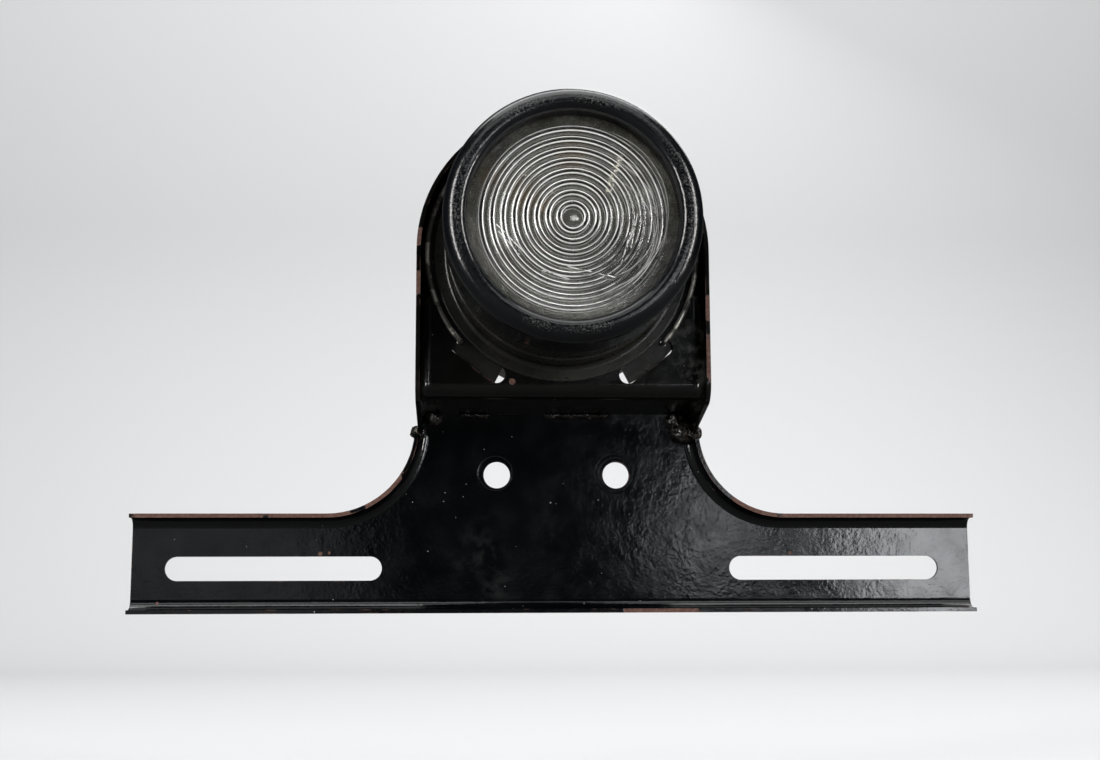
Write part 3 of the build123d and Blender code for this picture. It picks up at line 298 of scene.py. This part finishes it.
def enamel(name, colour, film, gloss, dust=1.0, wear=1.0, chips=(), front=None, spots=(), scuffs=(),
           rub=0.0, marks=(), bare=None):
    """Black enamel under a film of dirt.

    Chips lie along the edges that are turned to the front, spots and scuffs on the flats. Marks are
    rings pressed by bolt heads, and bare is what shows where the enamel is gone, if not primer.
    """
    coat = Shading(name)
    base = coat.mix(coat.ramp(coat.cloud(0.030, 4), 0.40, 0.68), (*colour, 1), (*film, 1))
    dots = coat.most(coat.specks(0.0030, 0.060), coat.specks(0.0085, 0.040))
    dots = coat.times(dots, coat.ramp(coat.cloud(0.012), 0.44, 0.56, 0.0, dust))
    base = coat.mix(dots, base, DUST)
    grain = coat.cloud(0.0022, 5)
    if scuffs:
        rubbed = coat.times(coat.near_points(scuffs), coat.ramp(coat.cloud(0.0035, 6), 0.46, 0.66), rub)
        base = coat.mix(rubbed, base, SCUFFED)
    worn = coat.times(coat.sharp_edges(0.0007), coat.ramp(coat.cloud(0.016, 3), 0.50, 0.60, 0.0, wear),
                      coat.ramp(grain, 0.42, 0.52))
    if chips:
        chipped = coat.ramp(coat.maths("ADD", coat.near_points(chips), grain), 0.82, 0.94)
        depth = coat.node("ShaderNodeSeparateXYZ", Vector=coat.place).outputs["Y"]
        at_front = coat.ramp(depth, front + CHIP_DEPTH[0], front + CHIP_DEPTH[1], 1.0, 0.0)
        worn = coat.most(worn, coat.times(chipped, at_front))
    if spots:
        worn = coat.most(worn, coat.ramp(coat.maths("ADD", coat.near_points(spots), grain), 1.06, 1.14))
    under = bare or coat.mix(coat.ramp(coat.cloud(0.0006, 3), 0.42, 0.62), PRIMER, PRIMER_PALE)
    coat.feed(coat.shader.inputs["Base Color"], coat.mix(worn, base, under))
    rough = coat.ramp(coat.cloud(0.009, 4), 0.35, 0.70, gloss, gloss + 0.10)
    rough = coat.maths("ADD", rough, coat.times(worn, 0.45), clamp=True)
    coat.feed(coat.shader.inputs["Roughness"], rough)
    coat.shader.inputs["IOR"].default_value = 1.5
    heights = [
        coat.times(coat.cloud(0.0030, 2), 0.000055),
        coat.times(coat.cloud(0.0010, 2), 0.000022),
        coat.times(coat.cloud(0.05, 1), 0.00035),
        coat.times(dots, 0.00004),
        coat.times(worn, -0.00006),
    ]
    if marks:
        heights.append(coat.times(coat.rings(marks), -0.00010))
    coat.relief(*heights)
    return coat.material


def coat_node(node, material):
    """Gives a CAD node its finish."""
    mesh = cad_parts[node].data
    mesh.materials.clear()
    mesh.materials.append(material)


bracket_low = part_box("plate_bracket")[0]
ARM_EDGE_Z = -0.012
EDGE_Y = bracket_low.y
PLATE_Y = -0.0012
bracket_chips = [
    (-0.108, EDGE_Y, ARM_EDGE_Z, 0.026), (-0.074, EDGE_Y, ARM_EDGE_Z, 0.016),
    (0.110, EDGE_Y, ARM_EDGE_Z, 0.024), (0.080, EDGE_Y, ARM_EDGE_Z, 0.018),
    (-0.052, EDGE_Y, -0.006, 0.010), (0.060, EDGE_Y, -0.010, 0.010),
    (0.035, EDGE_Y, bracket_low.z, 0.010), (0.024, EDGE_Y, bracket_low.z, 0.006),
]
bracket_spots = [
    (0.0795, PLATE_Y, -0.0395, 0.0013), (-0.0712, PLATE_Y, -0.0238, 0.0011),
    (-0.0685, PLATE_Y, -0.0235, 0.0008), (0.0715, PLATE_Y, -0.0236, 0.0010),
    (-0.1190, PLATE_Y, -0.0385, 0.0010),
]
bracket_scuffs = [(-0.024, PLATE_Y, -0.024, 0.011), (-0.018, PLATE_Y, -0.034, 0.007)]
bolt_rings = [(-0.0186, 0.0003, 0.0052), (0.0178, 0.0004, 0.0058), (0.0182, 0.0, 0.0050)]
coat_node("plate_bracket", enamel(
    "bracket_enamel", (0.0008, 0.0012, 0.0017), (0.0022, 0.0028, 0.0034), gloss=0.09,
    chips=bracket_chips, front=EDGE_Y, spots=bracket_spots, scuffs=bracket_scuffs, rub=0.06,
    marks=bolt_rings))


# ---- lamp carrier ----------------------------------------------------------------------------
# The arched panel that holds the lamp, pressed from the same sheet, with a ledge that reaches back
# to the bracket. Its enamel has browned and carries a grey scuff beside the right-hand slot.
carrier_low, carrier_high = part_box("lamp_carrier")
FACE_Y = -0.0312
carrier_chips = [
    (carrier_low.x, carrier_low.y, 0.0655, 0.004), (carrier_low.x, carrier_low.y, 0.052, 0.005),
    (carrier_high.x, carrier_low.y, 0.031, 0.009), (carrier_high.x, carrier_low.y, 0.045, 0.005),
]
carrier_spots = [(-0.0145, FACE_Y, 0.0245, 0.0015)]
carrier_scuffs = [(0.036, FACE_Y, 0.036, 0.008), (0.039, FACE_Y, 0.028, 0.006)]
coat_node("lamp_carrier", enamel(
    "carrier_enamel", (0.0009, 0.0009, 0.0006), (0.0028, 0.0026, 0.0019), gloss=0.13, dust=0.8, wear=0.6,
    chips=carrier_chips, front=carrier_low.y, spots=carrier_spots, scuffs=carrier_scuffs, rub=0.5))


# ---- weld beads ------------------------------------------------------------------------------
# Stitches and lumps of weld where the ledge meets the bracket, left rough and painted over, with
# rust-brown pits at the corners.
def lumpy(name, node, voxel, height):
    """A rough copy of a CAD node: remeshed, then pushed in and out by noise."""
    rough = set_out(name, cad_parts[node].data.copy())
    remesh = rough.modifiers.new("remesh", "REMESH")
    remesh.mode = "VOXEL"
    remesh.voxel_size = voxel
    ready = bpy.data.meshes.new_from_object(rough.evaluated_get(bpy.context.evaluated_depsgraph_get()))
    rough.modifiers.clear()
    rough.data = ready
    ready.name = name
    for vertex in ready.vertices:
        lump = noise.noise(vertex.co / 0.0022) * 0.7 + noise.noise(vertex.co / 0.0009) * 0.45
        vertex.co += vertex.normal * (lump - 0.25) * height
    ready.shade_smooth()
    return rough


weld = Shading("weld_enamel")
pits = weld.cloud(0.0016, 4)
weld_colour = weld.mix(weld.ramp(pits, 0.50, 0.62), (0.0028, 0.0026, 0.0020, 1), (0.018, 0.012, 0.008, 1))
flecks = weld.ramp(weld.cloud(0.0010, 3), 0.66, 0.70)
weld.feed(weld.shader.inputs["Base Color"], weld.mix(flecks, weld_colour, (0.30, 0.25, 0.20, 1)))
weld.feed(weld.shader.inputs["Roughness"], weld.ramp(pits, 0.4, 0.6, 0.12, 0.40))
weld.relief(weld.times(pits, 0.00025))
BEAD_VOXEL = 0.00035
BEAD_HEIGHT = 0.0007
beads = lumpy("weld_bead_lumps", "weld_beads", BEAD_VOXEL, BEAD_HEIGHT)
beads.data.materials.clear()
beads.data.materials.append(weld.material)
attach(beads, "carrier")
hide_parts("weld_beads")


# ---- lamp drum -------------------------------------------------------------------------------
# The round housing, drawn from sheet steel and screwed to the carrier. Its thin enamel is dull and
# wears through to grey steel at the edges.
drum_low, drum_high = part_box("lamp_drum")
LAMP_Z = (drum_low.z + drum_high.z) / 2
coat_node("lamp_drum", enamel(
    "drum_enamel", (0.006, 0.006, 0.0045), (0.020, 0.0195, 0.015), gloss=0.22, dust=0.5, wear=0.9,
    bare=(0.085, 0.083, 0.068, 1)))


# ---- retaining wire --------------------------------------------------------------------------
# Hard spring wire bent round the drum's flange, its ends hooked behind two tongues of the rear
# cup. Once painted, it is now partly rubbed to bare steel.
wire = Shading("spring_wire")
wire_paint = wire.ramp(wire.cloud(0.0035, 4), 0.44, 0.54)
wire_colour = wire.mix(wire_paint, (0.42, 0.41, 0.37, 1), (0.035, 0.033, 0.028, 1))
wire.feed(wire.shader.inputs["Base Color"], wire_colour)
wire.feed(wire.shader.inputs["Metallic"], wire.ramp(wire_paint, 0.0, 1.0, 0.85, 0.0))
wire.feed(wire.shader.inputs["Roughness"], wire.ramp(wire.cloud(0.001, 3), 0.35, 0.65, 0.28, 0.50))
wire.relief(wire.times(wire.cloud(0.0011, 3), 0.00006))
coat_node("retaining_wire", wire.material)


# ---- bezel -----------------------------------------------------------------------------------
# The rolled steel rim round the lens, held on the drum by three bayonet lugs. Its enamel is grainy
# and grey along the crest: worn paint at the top and bottom, painted highlights at the left and right.
CREST_RADIUS = 0.0306
bezel_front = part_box("bezel")[0].y
bezel = Shading("bezel_enamel")
crest = bezel.band(bezel.away_from(0, LAMP_Z), CREST_RADIUS, 0.0004, 0.0017)
sand = bezel.cloud(0.00050, 4)
# grey on the crest: worn paint at the top and bottom, painted highlights where the side lights glint at the
# left and right
bezel_rubs_and_glints = bezel.near_points([
    (-0.0085, bezel_front, LAMP_Z - 0.0290, 0.0065), (0.004, bezel_front, LAMP_Z - 0.0305, 0.009),
    (-0.012, bezel_front, LAMP_Z + 0.0285, 0.009), (0.006, bezel_front, LAMP_Z + 0.0300, 0.008),
    (-0.030, bezel_front, LAMP_Z + 0.004, 0.018), (0.029, bezel_front, LAMP_Z + 0.004, 0.020),
])
bezel_wear_and_highlight = bezel.times(crest, bezel_rubs_and_glints, bezel.ramp(sand, 0.50, 0.62))
bezel_base = bezel.mix(bezel.ramp(bezel.cloud(0.02, 3), 0.4, 0.7), (0.0015, 0.0019, 0.0027, 1),
                       (0.0042, 0.0050, 0.0068, 1))
bezel.feed(bezel.shader.inputs["Base Color"], bezel.mix(bezel_wear_and_highlight, bezel_base, (0.060, 0.060, 0.058, 1)))
bezel.feed(bezel.shader.inputs["Roughness"], bezel.ramp(sand, 0.35, 0.65, 0.11, 0.26))
bezel.relief(
    bezel.times(sand, bezel.ramp(crest, 0, 1, 0.00001, 0.00006)),
    bezel.times(bezel.cloud(0.0028, 2), 0.00007),
)
coat_node("bezel", bezel.material)


# ---- lens ------------------------------------------------------------------------------------
# One piece of clear pressed glass with a bullseye and eight raised rings, held in the bezel by a
# spring ring. The pairs of bright lines on the rings' flanks are painted highlights, the ring tops
# are painted dark as a painted reflection, and the glass between them is grey with age.
lens_low, lens_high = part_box("lens")
LENS_RADIUS = (lens_high.x - lens_low.x) / 2
LENS_FRONT = -lens_low.y
LENS_BACK = 0.0720
LENS_APERTURE = 0.0272
LENS_SEAT = 0.07515
RINGS = 8
FIRST_RING = 0.00365
RING_PITCH = 0.00293
RING_HALF = 0.00056     # half of a raised ring, to the middle of its flank
FLANK = 0.00017
RING_HEIGHT = 0.00042
AROUND = 288


def lens_profile():
    """Radius and depth down the lens's face and back."""
    def face(radius):
        return LENS_SEAT + (LENS_FRONT - LENS_SEAT - RING_HEIGHT) * (1 - (radius / LENS_APERTURE) ** 2)

    points = [(0.0, face(0) - 0.0003), (0.0006, face(0) - 0.0002), (0.0011, face(0) + 0.0002),
              (0.0017, face(0) + 0.0001)]
    for ring in range(RINGS):
        middle = FIRST_RING + ring * RING_PITCH
        points += [
            (middle - RING_HALF - FLANK, face(middle)),
            (middle - RING_HALF + FLANK, face(middle) + RING_HEIGHT),
            (middle, face(middle) + RING_HEIGHT * 1.12),
            (middle + RING_HALF - FLANK, face(middle) + RING_HEIGHT),
            (middle + RING_HALF + FLANK, face(middle)),
            (middle + RING_PITCH / 2, face(middle + RING_PITCH / 2)),
        ]
    edge = [(LENS_APERTURE, LENS_SEAT), (LENS_RADIUS, LENS_SEAT), (LENS_RADIUS, LENS_BACK)]
    return points + edge + [(0.0, LENS_BACK)]


def finished(name, made):
    """Turns a bmesh into a smooth object, its faces looking outwards."""
    bmesh.ops.recalc_face_normals(made, faces=made.faces)
    mesh = bpy.data.meshes.new(name)
    made.to_mesh(mesh)
    made.free()
    mesh.shade_smooth()
    return set_out(name, mesh)


def lathe(name, profile, steps):
    """Turns radius and depth points round the lamp's axis."""
    made = bmesh.new()
    rings = []
    for radius, depth in profile:
        if radius == 0:
            rings.append([made.verts.new((0, -depth, LAMP_Z))] * steps)
            continue
        turns = [2 * math.pi * step / steps for step in range(steps)]
        rings.append([
            made.verts.new((radius * math.cos(turn), -depth, LAMP_Z + radius * math.sin(turn)))
            for turn in turns
        ])
    for inner, outer in zip(rings, rings[1:]):
        for step in range(steps):
            after = (step + 1) % steps
            corners = []
            for vertex in (inner[step], outer[step], outer[after], inner[after]):
                if vertex not in corners:
                    corners.append(vertex)
            made.faces.new(corners)
    return finished(name, made)


def streak(shading, first, second, width):
    """1 along a straight scratch on the lens, from one x, height pair to another, in metres."""
    run = Vector((second[0] - first[0], second[1] - first[1]))
    along = run.normalized()
    parts = shading.node("ShaderNodeSeparateXYZ", Vector=shading.place)
    x = shading.maths("SUBTRACT", parts.outputs["X"], first[0])
    z = shading.maths("SUBTRACT", parts.outputs["Z"], LAMP_Z + first[1])
    forward = shading.maths("ADD", shading.times(x, along.x), shading.times(z, along.y))
    aside = shading.maths("SUBTRACT", shading.times(x, along.y), shading.times(z, along.x))
    return shading.times(
        shading.band(aside, 0.0, width * 0.5, width),
        shading.maths("GREATER_THAN", forward, 0.0),
        shading.maths("LESS_THAN", forward, run.length),
    )


def off_centre_ring(shading, x, height, radius, width):
    """1 along a thin circle on the lens about a point beside its axis."""
    return shading.band(shading.away_from(x, LAMP_Z + height), radius, width * 0.4, width)


glass = Shading("lens_glass")
reach = glass.away_from(0, LAMP_Z)
haze = glass.ramp(glass.cloud(0.005, 5), 0.35, 0.70)
grit = glass.cloud(0.0007, 4)
FRONT_FACE = -LENS_FRONT

# where each ring's two flanks and its flat top lie
turns = glass.maths("DIVIDE", glass.maths("SUBTRACT", reach, FIRST_RING - RING_PITCH / 2), RING_PITCH)
offset = glass.maths("ABSOLUTE", glass.maths("SUBTRACT", glass.maths("FRACT", turns), 0.5))
ringed = glass.times(glass.maths("GREATER_THAN", turns, 0.0), glass.maths("LESS_THAN", turns, RINGS))
half = RING_HALF / RING_PITCH
# the flanks carry the painted highlight lines, the flat tops a painted dark reflection
flank = glass.times(glass.band(offset, half, 0.030, 0.075), ringed)
flat_top = glass.times(glass.ramp(offset, half * 0.55, half * 0.85, 1.0, 0.0), ringed)

# painted shade: the lower right is painted darker and its painted highlight lines fainter
shaded_lower_right = glass.near_points([
    (0.0175, FRONT_FACE, LAMP_Z - 0.0135, 0.0200), (0.0200, FRONT_FACE, LAMP_Z - 0.002, 0.0110)])
shade_on_lines = glass.times(shaded_lower_right, glass.ramp(glass.cloud(0.0030, 3), 0.35, 0.55, 1.0, 0.45))
lit = glass.times(glass.maths("SUBTRACT", 1.0, shade_on_lines),
                  glass.ramp(glass.cloud(0.0060, 3), 0.30, 0.55, 0.72, 1.0))

# painted reflection: faint off-centre rings on the right, the reflector's image seen through the glass
right_side = glass.ramp(glass.node("ShaderNodeSeparateXYZ", Vector=glass.place).outputs["X"], 0.006, 0.014)
ghost_rings = (
    (0.0035, -0.0020, 0.0190, 0.00016),
    (0.0052, 0.0005, 0.0172, 0.00014),
    (0.0030, 0.0022, 0.0222, 0.00018),
    (0.0062, -0.0042, 0.0152, 0.00013),
)
ghost_reflections = glass.times(right_side, glass.most(*(off_centre_ring(glass, *ring) for ring in ghost_rings)))
scratch_lines = (
    ((-0.0205, -0.0016), (-0.0125, -0.0098), 0.00022),
    ((-0.0195, -0.0040), (-0.0140, -0.0102), 0.00016),
    ((-0.0034, -0.0128), (0.0110, -0.0160), 0.00020),
    ((-0.0090, -0.0140), (-0.0010, -0.0166), 0.00018),
    ((0.0150, -0.0040), (0.0128, -0.0120), 0.00018),
    ((0.0172, 0.0020), (0.0152, -0.0085), 0.00014),
)
scratches = glass.times(glass.most(*(streak(glass, *line) for line in scratch_lines)),
                        glass.ramp(glass.cloud(0.0016, 3), 0.42, 0.50))
chip_band = streak(glass, (0.0128, 0.0172), (0.0093, 0.0068), 0.0011)
chip_marks = glass.near_points([
    (-0.0120, FRONT_FACE, LAMP_Z + 0.0112, 0.0014), (-0.0052, FRONT_FACE, LAMP_Z + 0.0068, 0.0013),
    (0.0158, FRONT_FACE, LAMP_Z + 0.0130, 0.0009), (-0.0185, FRONT_FACE, LAMP_Z + 0.0128, 0.0009),
])
chipped = glass.times(glass.most(chip_band, chip_marks), glass.ramp(grit, 0.50, 0.58))
# painted highlight: a bright spot on the bullseye
bullseye = glass.near_points([
    (0.0002, FRONT_FACE, LAMP_Z - 0.0002, 0.0012), (0.0011, FRONT_FACE, LAMP_Z - 0.0006, 0.0007)])
stain = glass.near_points([
    (-0.0125, FRONT_FACE, LAMP_Z + 0.0060, 0.0065), (-0.0085, FRONT_FACE, LAMP_Z + 0.0035, 0.005),
    (-0.0220, FRONT_FACE, LAMP_Z + 0.0115, 0.0060), (0.0, FRONT_FACE, LAMP_Z + 0.0165, 0.0070)])
rim_dirt = glass.ramp(reach, 0.0246, 0.0272)

# each layer covers the ones before it: a share from 0 to 1 and a colour
# painted highlights on the flanks, painted ghost reflections and the bullseye's painted highlight, with the
# real scratches
lines = glass.most(glass.times(flank, lit), glass.times(ghost_reflections, 0.55), glass.times(scratches, 0.9), bullseye)
tint = glass.mix(haze, (0.47, 0.475, 0.445, 1), (0.27, 0.27, 0.24, 1))
for share, colour in (
    (glass.times(stain, glass.ramp(grit, 0.40, 0.60, 0.35, 1.0)), (0.40, 0.29, 0.19, 1)),
    (glass.times(rim_dirt, glass.ramp(glass.cloud(0.0035, 4), 0.35, 0.6)), (0.13, 0.127, 0.098, 1)),
    # painted reflection: the ring tops darkened to near black
    (glass.times(flat_top, 0.85), (0.018, 0.019, 0.023, 1)),
    # painted shade over the lower right
    (glass.times(shaded_lower_right, glass.ramp(glass.cloud(0.0024, 3), 0.35, 0.60, 0.35, 0.80)), (0.05, 0.052, 0.056, 1)),
    # the painted highlight lines and the scratches
    (lines, (0.97, 0.97, 0.95, 1)),
    (chipped, (0.72, 0.69, 0.58, 1)),
):
    tint = glass.mix(share, tint, colour)
solid_highlights_and_marks = glass.most(lines, chipped)
glass.feed(glass.shader.inputs["Base Color"], tint)
glass.feed(glass.shader.inputs["Roughness"], glass.ramp(haze, 0, 1, 0.07, 0.20))
glass.feed(glass.shader.inputs["Transmission Weight"], glass.ramp(solid_highlights_and_marks, 0, 1, 0.84, 0.0))
glass.feed(glass.shader.inputs["Alpha"], glass.ramp(solid_highlights_and_marks, 0, 1, 0.74, 1.0))
glass.shader.inputs["IOR"].default_value = 1.5
glass.relief(
    glass.times(glass.cloud(0.0018, 3), 0.00007),
    glass.times(chipped, -0.00008),
    glass.times(scratches, -0.00004),
)

lens = lathe("lens_rings", lens_profile(), AROUND)
lens.data.materials.append(glass.material)
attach(lens, "bezel")
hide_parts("lens")


# ---- reflector -------------------------------------------------------------------------------
# A bowl pressed from sheet steel and silver-plated, which sits in the drum round the bulb. The
# plating is dulled and freckled.
silver = Shading("dulled_silver")
freckle = silver.ramp(silver.cloud(0.003, 5), 0.45, 0.68)
silver.feed(silver.shader.inputs["Base Color"],
            silver.mix(freckle, (0.80, 0.79, 0.75, 1), (0.42, 0.39, 0.33, 1)))
silver.feed(silver.shader.inputs["Roughness"], silver.ramp(freckle, 0, 1, 0.14, 0.38))
silver.shader.inputs["Metallic"].default_value = 1.0
coat_node("reflector", silver.material)


# ---- bulb socket -----------------------------------------------------------------------------
# A brass shell and flange riveted to the drum's floor, with a terminal and a contact plunger, all
# tarnished. The fixed insulator and the sliding contact disc are red-brown fibre.
def tarnished(name, bright, dark, metallic, roughness):
    """A metal or fibre with blotches of a darker tone."""
    made = Shading(name)
    spots = made.ramp(made.cloud(0.0022, 4), 0.42, 0.66)
    made.feed(made.shader.inputs["Base Color"], made.mix(spots, (*bright, 1), (*dark, 1)))
    made.feed(made.shader.inputs["Roughness"], made.ramp(spots, 0, 1, roughness, roughness + 0.2))
    made.shader.inputs["Metallic"].default_value = metallic
    made.relief(made.times(made.cloud(0.0006, 3), 0.00002))
    return made.material


old_brass = tarnished("old_brass", (0.62, 0.44, 0.18), (0.25, 0.16, 0.07), 1.0, 0.25)
for node in ("socket_shell", "socket_flange", "socket_rivets", "terminal_tab", "terminal_screw",
             "terminal_nut", "contact_plunger"):
    coat_node(node, old_brass)
fibre = tarnished("red_fibre", (0.22, 0.06, 0.035), (0.13, 0.04, 0.025), 0.0, 0.55)
for node in ("socket_insulator", "contact_disc"):
    coat_node(node, fibre)


# ---- contact spring --------------------------------------------------------------------------
# Three coils of fine spring wire between the fixed insulator and the contact disc.
COIL_WIRE = 0.0003      # radius of the wire
COIL_TURNS = 3
COIL_STEPS = 40
WIRE_SIDES = 8
coil_low, coil_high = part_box("contact_spring")
COIL_RADIUS = (coil_high.x - coil_low.x) / 2 - COIL_WIRE


def coil(name):
    """The spring's wire as a tube with closed ends."""
    rear = coil_high.y - COIL_WIRE
    front = coil_low.y + COIL_WIRE
    made = bmesh.new()
    rings = []
    for step in range(COIL_TURNS * COIL_STEPS + 1):
        share = step / (COIL_TURNS * COIL_STEPS)
        turn = 2 * math.pi * COIL_TURNS * share
        out = Vector((math.cos(turn), 0, math.sin(turn)))
        middle = out * COIL_RADIUS + Vector((0, rear + (front - rear) * share, LAMP_Z))
        around = [2 * math.pi * corner / WIRE_SIDES for corner in range(WIRE_SIDES)]
        rings.append([
            made.verts.new(middle + COIL_WIRE * (out * math.cos(side) + Vector((0, math.sin(side), 0))))
            for side in around
        ])
    for near, far in zip(rings, rings[1:]):
        for corner in range(WIRE_SIDES):
            after = (corner + 1) % WIRE_SIDES
            made.faces.new((near[corner], near[after], far[after], far[corner]))
    made.faces.new(rings[0])
    made.faces.new(reversed(rings[-1]))
    return finished(name, made)


spring_steel = tarnished("spring_steel", (0.45, 0.44, 0.42), (0.20, 0.17, 0.14), 1.0, 0.3)
spring = coil("contact_coil")
spring.data.materials.append(spring_steel)
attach(spring, "carrier")
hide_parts("contact_spring")
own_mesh(spring)


# ---- bulb ------------------------------------------------------------------------------------
# A clear bayonet bulb: blown glass cemented on a brass base, with a glass mount, two leads and a
# filament.
blown = Shading("blown_glass")
blown.shader.inputs["Base Color"].default_value = (0.95, 0.96, 0.95, 1)
blown.feed(blown.shader.inputs["Roughness"], blown.ramp(blown.cloud(0.004, 3), 0.4, 0.7, 0.02, 0.08))
blown.shader.inputs["Transmission Weight"].default_value = 1.0
blown.shader.inputs["Alpha"].default_value = 0.5
coat_node("bulb_glass", blown.material)
coat_node("bulb_mount", blown.material)
coat_node("bulb_base", tarnished("bulb_brass", (0.72, 0.56, 0.28), (0.42, 0.30, 0.14), 1.0, 0.22))
coat_node("bulb_base_glass", tarnished("black_glass", (0.01, 0.01, 0.012), (0.02, 0.02, 0.02), 0.0, 0.1))
coat_node("bulb_contact", tarnished("solder", (0.50, 0.51, 0.52), (0.30, 0.30, 0.29), 1.0, 0.35))
coat_node("bulb_leads", tarnished("lead_wire", (0.45, 0.42, 0.38), (0.28, 0.25, 0.22), 1.0, 0.3))
coat_node("bulb_filament", tarnished("tungsten", (0.16, 0.16, 0.17), (0.08, 0.08, 0.08), 1.0, 0.35))


# ---- gasket, spring ring, rear cup, grommet and fixings ----------------------------------------
# A cork gasket under the lens and the steel ring that holds the lens in the bezel, the enamelled
# cup over the terminals with its rubber grommet, and three zinc-plated screws with lock washers
# and captive nuts.
coat_node("lens_gasket", tarnished("cork_gasket", (0.20, 0.125, 0.075), (0.09, 0.055, 0.035), 0.0, 0.75))
coat_node("lens_ring", spring_steel)
coat_node("rear_cup", enamel(
    "cup_enamel", (0.0055, 0.0055, 0.0048), (0.014, 0.0135, 0.011), gloss=0.24, dust=0.6, wear=0.7))
coat_node("lead_grommet", tarnished("old_rubber", (0.018, 0.018, 0.018), (0.045, 0.043, 0.040), 0.0, 0.60))
zinc = tarnished("dull_zinc", (0.50, 0.50, 0.48), (0.26, 0.24, 0.21), 1.0, 0.32)
for node in ("drum_screws", "lock_washers", "captive_nuts"):
    coat_node(node, zinc)
